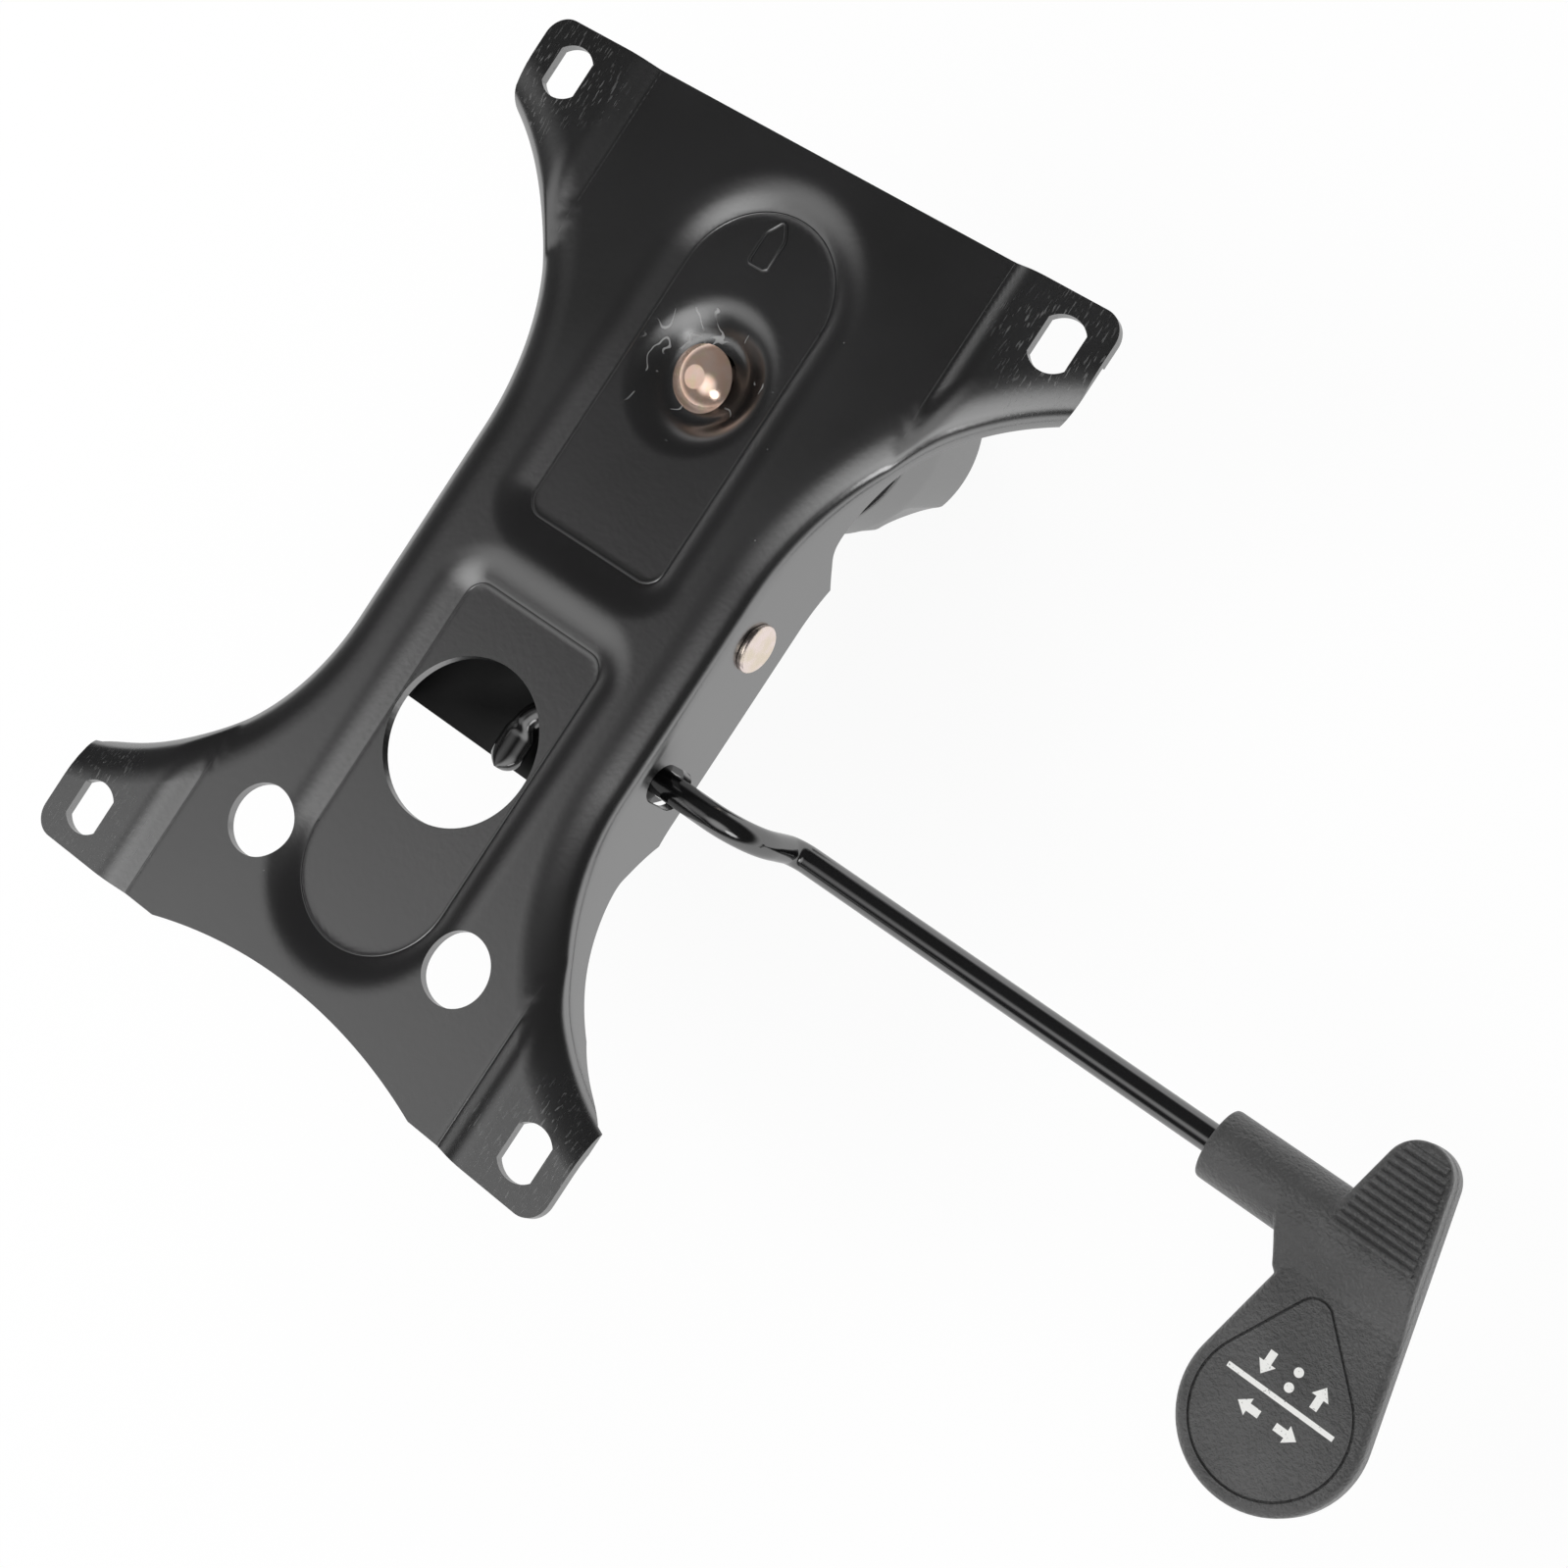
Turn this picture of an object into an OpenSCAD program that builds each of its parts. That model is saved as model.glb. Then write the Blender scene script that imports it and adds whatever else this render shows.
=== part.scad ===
// Office chair tilt mechanism.
// A pressed seat plate rocks on a pivot pin over a tray that is carried by the gas lift.
// A leaning bolt, a coil spring and a lobed knob set the tilt tension, and a bent lever with a
// plastic handle works the gas lift and the tilt lock.
// The origin is the middle of the hub's mouth, +Y points to the front of the chair and +X to the lever.

/* [Seat plate] */
// Length of the plate from its front edge to its rear edge
plate_length = 239; // [236:1:260]
// Width of the plate over its ears
plate_width = 176; // [170:1:190]
// Height of the plate's top face above the mouth of the gas lift hub
plate_height = 80; // [70:1:95]
// Distance from the hub's axis forward to the middle of the plate
plate_shift = 20; // [14:1:24]
// Thickness of the plate's pressed sheet
sheet = 2.5; // [2:0.1:3]
// Width over the side walls at the waist
waist_width = 88; // [84:1:94]
// Front end of the straight waist, ahead of the middle of the plate
waist_front = 24; // [20:1:28]
// Rear end of the straight waist, behind the middle of the plate
waist_rear = 31; // [27:1:34]
// Depth of the side walls below the plate's top face
wall_depth = 29.3; // [27:0.1:33]
// Outer radius of the bend between the plate and its walls
bend_r = 8; // [6:0.5:8.5]
// Plan radius of the wall's sweep to a front ear
front_sweep_r = 80; // [74:1:86]
// Plan radius of the wall's sweep to a rear ear
rear_sweep_r = 66; // [62:1:70]
// Depth of the front flange below the plate's top face
front_flange_depth = 9.2; // [9:0.1:11]
// Depth of the rear flange where the deep wall ends
rear_flange_depth = 15; // [12:0.5:17]
// Depth of the rear flange at the ear
ear_flange_depth = 10; // [8:0.5:12]
// Radius of the hollow between the deep wall and a flange
relief_r = 25; // [20:1:28]
// Place of the front hollow ahead of the middle of the plate
front_relief_y = 64; // [60:1:68]
// Place of the rear hollow behind the middle of the plate
rear_relief_y = 61.8; // [58:0.2:66]

/* [Ears] */
// Height of the ears above the middle of the plate
ear_rise = 3; // [1.5:0.5:4]
// Distance from the middle of the plate to the crease of an ear
ear_crease = 55; // [52:0.5:58]
// Width of the slope between the crease and the ear
ear_slope = 5.5; // [4:0.5:7]
// Corner radius of an ear
ear_corner_r = 6; // [4:0.5:8]
// Width of the arch in the rear edge
arch_width = 92; // [70:1:100]
// Depth of the arch in the rear edge
arch_depth = 7.8; // [4:0.2:9]

/* [Seat fixing slots] */
// Spacing of the slots across the plate
slot_pitch_x = 152; // [146:1:154]
// Spacing of the slots along the plate
slot_pitch_y = 215; // [205:1:217]
// Width of a slot
slot_width = 10.6; // [8:0.2:12]
// Length of a slot along the plate
slot_length = 14; // [13:0.5:17]

/* [Pressed ovals] */
// Depth of the two pressed ovals
oval_depth = 2.5; // [1.5:0.1:3]
// Width of the slope round an oval's floor
oval_slope = 6; // [4:0.5:7]
// Corner radius at the straight end of an oval's floor
oval_corner_r = 5; // [3:0.5:9]
// Width of the front oval's floor
front_oval_width = 42; // [38:0.5:46]
// Front end of the front oval's floor, ahead of the middle of the plate
front_oval_front = 104.5; // [98:0.5:107]
// Straight rear end of the front oval's floor, ahead of the middle of the plate
front_oval_rear = 13; // [8:0.5:16]
// Width of the rear oval's floor
rear_oval_width = 43; // [42.5:0.5:46]
// Straight front end of the rear oval's floor, behind the middle of the plate
rear_oval_front = 7; // [7:0.5:12]
// Rear end of the rear oval's floor, behind the middle of the plate
rear_oval_rear = 98; // [92:0.5:101]
// Diameter of the big hole in the rear oval
big_hole_d = 41; // [34:0.5:41.5]
// Place of the big hole behind the middle of the plate
big_hole_y = 41.6; // [38:0.2:46]
// Diameter of the two small holes beside the rear oval
small_hole_d = 18.3; // [12:0.1:20]
// Spacing of the two small holes
small_hole_pitch = 67.7; // [66:0.1:80]
// Place of the two small holes behind the middle of the plate
small_hole_y = 84.7; // [78:0.1:90]

/* [Dish of the bolt] */
// Diameter of the dish's flat floor
dish_d = 22; // [20:0.5:24]
// Depth of the dish below the front oval's floor
dish_depth = 4.5; // [3.5:0.1:5.5]
// Width of the slope round the dish's floor
dish_slope = 6; // [4:0.5:7]
// Width of the dish's hole, which carries the round underside of the bolt's head
dish_hole_width = 12.5; // [11:0.1:13]
// Length of the dish's hole, along which the head rolls
dish_hole_length = 15.3; // [14.5:0.1:17]

/* [Pivot] */
// Place of the pivot ahead of the middle of the plate
pivot_ahead = 15; // [12:0.5:18]
// Depth of the pivot below the plate's top face
pivot_drop = 15; // [14:0.5:16]
// Greatest tilt of the plate
tilt_max = 11; // [6:0.5:11]
// Diameter of the pivot pin
pin_d = 10; // [8:0.5:11]
// Diameter of the pin's head
pin_head_d = 12.6; // [12.6:0.2:16]
// Thickness of the pin's head
pin_head_t = 3; // [2:0.2:4]
// Wall of a pivot bush
bush_wall = 2; // [1.2:0.1:2.4]
// Width of a bush's collar beyond its wall
bush_collar = 1.2; // [1:0.1:1.4]
// Length of a bush beyond the inner face of the tray's wall
bush_lip = 1; // [0.5:0.1:2]
// Length of the pin beyond its clip
pin_tail = 1.5; // [1:0.1:3]
// Thickness of the pin's clip
clip_t = 1.4; // [1:0.1:2]
// Width of the clip's ring
clip_ring = 3.9; // [3:0.1:5]
// Depth of the clip's groove in the pin
clip_groove = 1; // [0.6:0.1:1.4]

/* [Tray] */
// Outer width of the tray
tray_width = 75; // [72:0.5:77]
// Thickness of the tray's sheet
tray_sheet = 2.5; // [2:0.1:3]
// Depth of the tray's underside below the plate's top face
tray_drop = 29.5; // [28.5:0.1:33]
// Rear edge of the tray behind the middle of the plate
tray_rear = 42; // [38:0.5:44]
// Start of the tray's ramp ahead of the middle of the plate
ramp_start = 35; // [32:0.5:38]
// Length of the ramp along its slope
ramp_length = 59; // [56:0.5:62]
// Chamfer along the tray's lower edges
tray_chamfer = 1.8; // [1:0.1:2.2]
// Radius of the tray's wall round the pivot
tray_ear_r = 10.5; // [10:0.1:11]
// Height of the tray's wall above its floor at the front end
tray_front_h = 7; // [5:0.5:8]
// Clearance between the tray's wall and the plate at full tilt
tilt_clear = 2.5; // [1.5:0.1:4]
// Radius of a front stop
stop_r = 4.3; // [3:0.1:4.5]
// Distance of the front stops from the middle of the tray
stop_x = 30; // [29.5:0.1:30.2]
// Distance of the front stops ahead of the bolt, along the ramp
stop_ahead = 22; // [20:0.5:23]

/* [Gas lift hub] */
// Outer diameter of the hub
hub_d = 33; // [31.5:0.5:38]
// Diameter of the tapered socket at its mouth
socket_mouth_d = 28; // [27.5:0.1:28.5]
// Diameter of the tapered socket at its top
socket_top_d = 26.5; // [25.5:0.1:27]
// Diameter of the hole for the gas lift's button
button_hole_d = 12; // [10:0.5:16]

/* [Tension bolt] */
// Lean of the bolt, bottom end to the front
bolt_lean = 15; // [12:0.5:16]
// Place of the bolt ahead of the middle of the plate, level with its reference depth
bolt_ahead = 61.5; // [60:0.5:63]
// Reference depth on the bolt's axis below the plate's top face
bolt_drop = 5; // [4:0.5:6]
// Diameter of the bolt's shank
bolt_d = 8; // [6:0.5:8.5]
// Room round the shank in the tray's ramp
shank_room = 1; // [0.8:0.1:2]
// Diameter of the bolt's head
head_d = 16.5; // [16:0.1:17.5]
// Height of the head's dome above its rim
head_dome_h = 3.7; // [2.5:0.1:4.5]
// Radius of the head's round underside
head_seat_r = 9; // [8.8:0.1:9.6]
// Length of the bolt below the knob's nut
bolt_tail = 3.5; // [3:0.1:6]
// Thickness of the ring on the bolt's end
ring_t = 1.2; // [0.8:0.1:1.5]
// Width of the ring beyond the shank
ring_w = 3; // [2:0.1:4]

/* [Tension spring] */
// Outer diameter of the spring
spring_d = 44; // [38:0.5:46]
// Diameter of the spring's wire
wire_d = 5; // [3.5:0.1:5.4]
// Length of the spring at rest
spring_length = 55.5; // [50:0.5:62]
// Number of curls
curls = 6.5; // [5:0.5:7]
// Thickness of the washer above the spring
washer_t = 2; // [1:0.1:3]
// Width of the washer beyond the spring
washer_margin = 1; // [0.5:0.1:3]
// Thickness of the spring cup
cup_t = 2; // [1:0.1:2.5]
// Height of the spring cup's wall above its floor
cup_h = 11; // [6:0.5:12]

/* [Knob] */
// Radius of the knob over its lobes
knob_r = 32; // [30.5:0.5:36]
// Radius of the knob at its valleys
knob_valley_r = 27.5; // [27:0.5:29]
// Radius of the hollow of a valley
knob_hollow_r = 24; // [16:0.5:26]
// Number of lobes
lobes = 4; // [3:1:6]
// Height of the knob
knob_h = 39; // [38:0.5:42]
// Height of the knob's round rim above its lobes
knob_rim_h = 17; // [15:0.5:20]
// Radius of the knob's rounded edges
knob_round_r = 0.9; // [0.5:0.1:0.9]
// Depth of the knob's pocket for the spring cup
pocket_depth = 27; // [26:0.5:27.5]
// Depth of the knob's wide mouth above the spring cup
knob_mouth_depth = 13; // [11:0.5:15]
// Thickness of the knob's web above the nut
knob_web = 2; // [1.5:0.1:3]
// Thickness of the knob's shell at its valleys
knob_wall = 2; // [1.5:0.1:3]
// Width of the nut across its flats
nut_flats = 13; // [12:0.5:15]
// Thickness of the nut
nut_t = 6.5; // [5:0.1:7]
// Wall of the knob's boss round the nut
boss_wall = 5; // [3:0.5:8]

/* [Lever] */
// Diameter of the lever's rod
rod_d = 7; // [6:0.1:7.2]
// Place of the rod's inner run behind the hub's axis
rod_behind = 3.3; // [1:0.1:5]
// Depth of the rod's inner run below the plate's top face
rod_drop = 20.5; // [20:0.1:20.8]
// Distance from the middle to the rod's finger
finger_x = 1.7; // [0:0.1:4]
// Width of the rod's flattened finger
finger_width = 9.5; // [8:0.1:11]
// Thickness of the finger
finger_t = 4.2; // [3:0.1:5]
// Reach of the finger's tip behind the hub's axis
finger_reach = 23; // [18:0.1:24]
// Distance from the middle to the rod's first outer bend
rod_bend_x = 68.5; // [61:0.5:72]
// Radius of the rod's bends, along its middle
rod_bend_r = 8; // [7:0.5:9]
// Angle of the rod's two outer bends
rod_bend_angle = 84; // [60:1:86]
// Depth of the rod's outer run below the plate's top face
rod_outer_drop = 43; // [40:0.5:46]
// Distance from the middle to the outer end of the rod
rod_end_x = 224; // [216:0.5:225]
// Wall of the lever's bush round the rod
lever_bush_wall = 1.5; // [1.2:0.1:1.6]
// Width of the lever bush's collars beyond its round middle
lever_collar = 1; // [0.8:0.1:1.1]
// Thickness of the lever bush's collars
lever_collar_t = 1.2; // [1:0.1:1.4]
// Greatest lift of the lever
lift_max = 3; // [1:0.5:3]
// Width of the wall's slot round the rod
wall_slot_width = 10.4; // [9:0.1:11]
// Top of the wall's slot below the plate's top face
wall_slot_top = 8.5; // [8.5:0.1:9]
// Bottom of the wall's slot below the plate's top face
wall_slot_bottom = 27; // [25:0.1:27]

/* [Handle] */
// Distance from the middle to the mouth of the handle's socket
socket_x = 193; // [188:0.5:200]
// Outer diameter of the handle's socket
handle_socket_d = 17.5; // [14:0.5:19]
// Distance from the middle to the centre of the paddle's round end
paddle_x = 235.8; // [233:0.2:240]
// Distance from the rod back to the centre of the paddle's round end
paddle_reach = 42; // [38:0.5:50]
// Radius of the paddle's round end
paddle_r = 21.5; // [20:0.5:24]
// Distance from the middle to the centre of the thumb tab's end
tab_x = 232.5; // [231:0.5:235]
// Distance from the rod forward to the centre of the thumb tab's end
tab_reach = 19; // [17:0.5:24]
// Radius of the thumb tab's end
tab_r = 8; // [7:0.5:10]
// Thickness of the handle
handle_t = 9.5; // [9:0.5:12]
// Radius of the handle's rounded edges
handle_edge_r = 3.5; // [2:0.5:4]
// Number of ribs on the thumb tab
ribs = 10; // [5:1:10]
// Spacing of the ribs
rib_pitch = 2.2; // [1.8:0.1:2.3]
// Radius of a rib
rib_r = 0.8; // [0.5:0.1:1]
// Distance from the handle's edge to the inlay's groove
inlay_margin = 3; // [3:0.5:6]
// Width of the groove round the inlay
groove_width = 1; // [0.5:0.1:1.5]
// Thickness of the inlay
inlay_t = 0.8; // [0.4:0.1:1.2]
// Sideways shift of the inlay's pointed end from the paddle's centre
inlay_tip_shift = 3.8; // [2:0.2:5]
// Radius of the inlay's pointed end
inlay_tip_r = 1.5; // [1:0.1:3]
// Distance from the rod back to the pointed end of the inlay
inlay_tip_reach = 16; // [14:0.5:18]

/* [Fits] */
// Radial clearance of a fit
fit = 0.05; // [0.02:0.01:0.1]
// Clearance between pieces that pass or face each other
gap = 0.3; // [0.25:0.01:0.4]

/* [Hidden] */
$fn = 64;
// Overlap of a cut beyond the face that it opens
over = 1;
// Reach of cuts and limits that pass everything
far = 400;

// Heights and places of the seat plate
plate_front = plate_shift + plate_length / 2;
plate_rear = plate_shift - plate_length / 2;
plate_under = plate_height - sheet;
sweep_front = plate_shift + waist_front;
sweep_rear = plate_shift - waist_rear;
wall_face = waist_width / 2;
wall_inside = wall_face - sheet;
oval_floor = plate_height - oval_depth;
dish_floor = oval_floor - dish_depth;

// Pivot
pivot_y = plate_shift + pivot_ahead;
pivot_z = plate_height - pivot_drop;
pin_r = pin_d / 2;
bush_r = pin_r + fit + bush_wall;

// Tray
tray_face = tray_width / 2;
floor_under = plate_height - tray_drop;
floor_top = floor_under + tray_sheet;
tray_rear_y = plate_shift - tray_rear;
ramp_y = plate_shift + ramp_start;

// Tension bolt: w runs up along its axis from the reference point
bolt_y = plate_shift + bolt_ahead;
bolt_z = plate_height - bolt_drop;
bolt_r = bolt_d / 2;
function along_bolt(y, z) = (z - bolt_z) * cos(bolt_lean) - (y - bolt_y) * sin(bolt_lean);
ramp_under_w = along_bolt(ramp_y, floor_under);
ramp_top_w = ramp_under_w + tray_sheet;

// The head's round underside rests over the long edges of the dish's hole
head_r = head_d / 2;
head_seat_h = sqrt(pow(head_seat_r, 2) - pow(dish_hole_width / 2, 2)) + gap;
head_w = (dish_floor + head_seat_h - bolt_z) / cos(bolt_lean);
head_rim_w = head_w - sqrt(pow(head_seat_r, 2) - pow(head_r, 2));
head_dome_r = (pow(head_r, 2) + pow(head_dome_h, 2)) / (2 * head_dome_h);
dish_hole_rear = bolt_y - head_w * sin(bolt_lean) - dish_hole_width / 2;
dish_hole_y = dish_hole_rear + dish_hole_length / 2;

// Spring, cup and knob along the bolt
washer_w = ramp_under_w - washer_t;
spring_top_w = washer_w - gap;
spring_bottom_w = spring_top_w - spring_length;
cup_floor_w = spring_bottom_w - gap;
cup_under_w = cup_floor_w - cup_t;
cup_r = spring_d / 2 + gap + cup_t;
pocket_w = cup_under_w - gap;
pocket_r = cup_r + gap;
knob_top_w = pocket_w + pocket_depth;
knob_bottom_w = knob_top_w - knob_h;
nut_top_w = pocket_w - knob_web;
nut_bottom_w = nut_top_w - nut_t;
bolt_end_w = nut_bottom_w - bolt_tail;
ring_w_top = nut_bottom_w - gap;
nut_corner_r = nut_flats / 2 / cos(30);
boss_r = nut_corner_r + boss_wall;
shank_hole_r = bolt_r + shank_room;

// Lever
rod_r = rod_d / 2;
rod_y = -rod_behind;
rod_z = plate_height - rod_drop;
rod_outer_z = plate_height - rod_outer_drop;
rod_fall = norm([rod_behind, rod_z - rod_outer_z]);
rod_roll = atan2(rod_behind, rod_z - rod_outer_z);
rod_slope_l = (rod_fall - 2 * rod_bend_r * (1 - cos(rod_bend_angle))) / sin(rod_bend_angle);
rod_outer_x = rod_bend_x + 2 * rod_bend_r * sin(rod_bend_angle) + rod_slope_l * cos(rod_bend_angle);
// How much thinner the bends are than the runs, and how far the runs lap over them
bend_thin = 0.03;
bend_lap = 0.4;
lever_bush_r = rod_r + fit + lever_bush_wall;
lever_bush_x = tray_face - tray_sheet / 2;
// Room beside the tray's wall for the rocking collars
collar_gap = gap + (lever_bush_r + lever_collar) * sin(lift_max);

// Handle
paddle = [paddle_x, -paddle_reach];
tab = [tab_x, tab_reach];
inlay_r = paddle_r - inlay_margin - groove_width;
inlay_tip = [paddle_x - inlay_tip_shift, -inlay_tip_reach];

module at_bolt() {
    translate([0, bolt_y, bolt_z]) rotate([bolt_lean, 0, 0]) children();
}

// Solid with an outline drawn in Y and Z, from x_from to x_to
module side_prism(x_from, x_to) {
    translate([x_from, 0, 0]) rotate([90, 0, 90]) linear_extrude(x_to - x_from) children();
}

// Round bar along X
module bar_x(x_from, x_to, r) {
    translate([x_from, 0, 0]) rotate([0, 90, 0]) cylinder(h = x_to - x_from, r = r);
}

// Tube along the Z axis
module tube(h, r_out, r_in) {
    difference() {
        cylinder(h = h, r = r_out);
        translate([0, 0, -over]) cylinder(h = h + 2 * over, r = r_in);
    }
}

// Slot outline along Y
module slot_outline(width, length) {
    straight = length - width;
    square([width, straight], center = true);
    for (end = [-1, 1]) translate([0, end * straight / 2]) circle(d = width);
}

// Seat plate

// Plan of the plate with its ear corners, before the waist is drawn in
module plate_plan() {
    corner_x = plate_width / 2 - ear_corner_r;
    corner_y = plate_length / 2 - ear_corner_r;
    translate([0, plate_shift]) {
        square([2 * corner_x, plate_length], center = true);
        square([plate_width, 2 * corner_y], center = true);
        for (x = [-1, 1], y = [-1, 1]) translate([x * corner_x, y * corner_y]) circle(ear_corner_r);
    }
}

// Flat face of one end of the plate, from y_from to y_to, inside the bends of its swept walls
module plate_end(y_from, y_to, sweep_y, sweep_r) {
    difference() {
        intersection() {
            plate_plan();
            translate([-far / 2, y_from]) square([far, y_to - y_from]);
        }
        for (side = [-1, 1]) translate([side * (wall_face + sweep_r), sweep_y]) circle(sweep_r + bend_r);
    }
}

// Flat face of the whole plate: two ends, the waist between them and the arch of the rear edge
module plate_outline() {
    arch_r = (pow(arch_width / 2, 2) + pow(arch_depth, 2)) / (2 * arch_depth);
    plate_end(sweep_front, plate_front, sweep_front, front_sweep_r);
    translate([bend_r - wall_face, sweep_rear]) square([2 * (wall_face - bend_r), sweep_front - sweep_rear]);
    difference() {
        plate_end(plate_rear, sweep_rear, sweep_rear, rear_sweep_r);
        translate([0, plate_rear + arch_depth - arch_r]) circle(arch_r);
    }
}

// Section of a wall and its bend: the wall's outer face is at x_wall and the plate lies beyond it
module wall_section(x_wall) {
    translate([x_wall, -wall_depth]) square([sheet, wall_depth - bend_r]);
    intersection() {
        translate([x_wall + bend_r, -bend_r]) difference() {
            circle(bend_r);
            circle(bend_r - sheet);
        }
        translate([x_wall, -bend_r]) square(bend_r);
    }
}

// The right wall: straight at the waist, then swept out to the front ear and the rear ear
module swept_wall() {
    sweep = 80;
    translate([wall_face, sweep_front, 0]) rotate([90, 0, 0]) linear_extrude(sweep_front - sweep_rear)
        mirror([1, 0]) wall_section(0);
    translate([wall_face + front_sweep_r, sweep_front, 0]) mirror([0, 1, 0]) rotate([0, 0, 180])
        rotate_extrude(angle = sweep) wall_section(front_sweep_r);
    translate([wall_face + rear_sweep_r, sweep_rear, 0]) rotate([0, 0, 180])
        rotate_extrude(angle = sweep) wall_section(rear_sweep_r);
}

// Half of the sheet before its ears are raised
module half_sheet() {
    intersection() {
        union() {
            translate([0, 0, -sheet]) linear_extrude(sheet) plate_outline();
            swept_wall();
        }
        translate([0, -far / 2, -far / 2]) cube([plate_width / 2, far, far]);
    }
}

// Band of the half sheet between two distances from the middle
module sheet_band(x_from, x_to) {
    intersection() {
        half_sheet();
        translate([x_from, -far / 2, -far / 2]) cube([x_to - x_from, far, far]);
    }
}

// Half of the sheet with the joggle of its ears
module joggled_half() {
    ear_x = ear_crease + ear_slope;
    rise = ear_rise / ear_slope;
    sheet_band(0, ear_crease);
    multmatrix([[1, 0, 0, 0], [0, 1, 0, 0], [rise, 0, 1, -rise * ear_crease], [0, 0, 0, 1]])
        sheet_band(ear_crease, ear_x);
    translate([0, 0, ear_rise]) sheet_band(ear_x, plate_width / 2);
}

// What is trimmed off the walls, from the deep waist to the flanges of the ears
module wall_trim() {
    front_y = plate_shift + front_relief_y;
    front_z = plate_height - front_flange_depth;
    rear_y = plate_shift - rear_relief_y;
    rear_z = plate_height - rear_flange_depth;
    low_z = plate_height - 2 * wall_depth;
    side_prism(-plate_width, plate_width) {
        translate([front_y, front_z - relief_r]) circle(relief_r);
        translate([front_y, low_z]) square([far, front_z - low_z]);
        translate([rear_y, rear_z - relief_r]) circle(relief_r);
        polygon([
            [rear_y, low_z], [rear_y, rear_z],
            [plate_rear, plate_height - ear_flange_depth], [plate_rear - over, low_z]
        ]);
    }
}

// Tapered solid of a pressed oval: round at y_round, straight with small corners at y_flat
module oval_solid(width, y_round, y_flat) {
    half = width / 2;
    facing = sign(y_round - y_flat);
    round_y = y_round - facing * half;
    corner_y = y_flat + facing * oval_corner_r;
    lip = oval_slope * over / oval_depth;
    slope = oval_slope + lip;
    h = oval_depth + over;
    translate([0, round_y, 0]) cylinder(h = h, r1 = half, r2 = half + slope);
    for (side = [-1, 1])
        translate([side * (half - oval_corner_r), corner_y, 0])
            cylinder(h = h, r1 = oval_corner_r, r2 = oval_corner_r + slope);
    translate([0, max(round_y, corner_y), 0]) rotate([90, 0, 0]) linear_extrude(abs(round_y - corner_y))
        polygon([[-half, 0], [half, 0], [half + slope, h], [-half - slope, h]]);
    side_prism(oval_corner_r - half, half - oval_corner_r)
        polygon([[y_flat, 0], [round_y, 0], [round_y, h], [y_flat - facing * slope, h]]);
}

// Both ovals and the dish, as solids whose faces are the pressed faces at this depth below the top
module pressings(depth) {
    translate([0, 0, oval_floor - depth]) {
        oval_solid(front_oval_width, plate_shift + front_oval_front, plate_shift + front_oval_rear);
        oval_solid(rear_oval_width, plate_shift - rear_oval_rear, plate_shift - rear_oval_front);
    }
    translate([0, bolt_y, dish_floor - depth])
        cylinder(h = dish_depth, d1 = dish_d, d2 = dish_d + 2 * dish_slope);
}

module plate_holes() {
    through = plate_height;
    translate([0, 0, plate_height - through / 2]) linear_extrude(through) {
        for (x = [-1, 1], y = [-1, 1])
            translate([x * slot_pitch_x / 2, plate_shift + y * slot_pitch_y / 2]) slot_outline(slot_width, slot_length);
        translate([0, plate_shift - big_hole_y]) circle(d = big_hole_d);
        for (side = [-1, 1])
            translate([side * small_hole_pitch / 2, plate_shift - small_hole_y]) circle(d = small_hole_d);
        translate([0, dish_hole_y]) slot_outline(dish_hole_width, dish_hole_length);
    }
}

// Holes of the pivot pin in both walls, and the lever's slot in the right wall
module wall_holes() {
    translate([0, pivot_y, pivot_z]) bar_x(-plate_width / 2, plate_width / 2, pin_r + fit);
    side_prism(tray_face, plate_width / 2)
        translate([rod_y, plate_height - (wall_slot_top + wall_slot_bottom) / 2])
            slot_outline(wall_slot_width, wall_slot_bottom - wall_slot_top);
}

module seat_plate() {
    color([0.09, 0.09, 0.1]) difference() {
        union() {
            translate([0, 0, plate_height]) {
                joggled_half();
                mirror([1, 0, 0]) joggled_half();
            }
            intersection() {
                pressings(sheet);
                translate([-far / 2, -far / 2, 0]) cube([far, far, plate_under + sheet / 2]);
            }
        }
        wall_trim();
        pressings(0);
        plate_holes();
        wall_holes();
    }
}

// Pivot

module pivot_pin() {
    end_x = wall_face + gap + clip_t + pin_tail;
    color([0.78, 0.79, 0.8]) translate([0, pivot_y, pivot_z]) {
        difference() {
            bar_x(-end_x, wall_face, pin_r);
            translate([-wall_face - gap - clip_t - fit, 0, 0]) rotate([0, 90, 0])
                tube(clip_t + 2 * fit, pin_r + over, pin_r - clip_groove);
        }
        bar_x(wall_face, wall_face + pin_head_t, pin_head_d / 2);
    }
}

module pin_clip() {
    groove_r = pin_r - clip_groove;
    color([0.55, 0.55, 0.56]) translate([-wall_face - gap - clip_t, pivot_y, pivot_z]) rotate([0, 90, 0])
        difference() {
            tube(clip_t, groove_r + clip_ring, groove_r + fit);
            translate([-far / 2, -groove_r / 2, -over]) cube([far / 2, groove_r, clip_t + 2 * over]);
        }
}

// Bush from inside the tray's wall to just short of the plate's wall
module pivot_bush() {
    inner_x = tray_face - tray_sheet - bush_lip;
    outer_x = wall_inside - gap;
    color([0.9, 0.89, 0.84]) translate([0, pivot_y, pivot_z]) difference() {
        union() {
            bar_x(inner_x, outer_x, bush_r);
            bar_x(tray_face, outer_x, bush_r + bush_collar);
        }
        bar_x(inner_x - over, outer_x + over, pin_r + 2 * fit);
    }
}

// Tray

// Point of the ramp: this far along its slope and this high above its underside
function ramp_point(along, up) = [
    ramp_y + along * cos(bolt_lean) - up * sin(bolt_lean),
    floor_under + along * sin(bolt_lean) + up * cos(bolt_lean)
];

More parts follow.
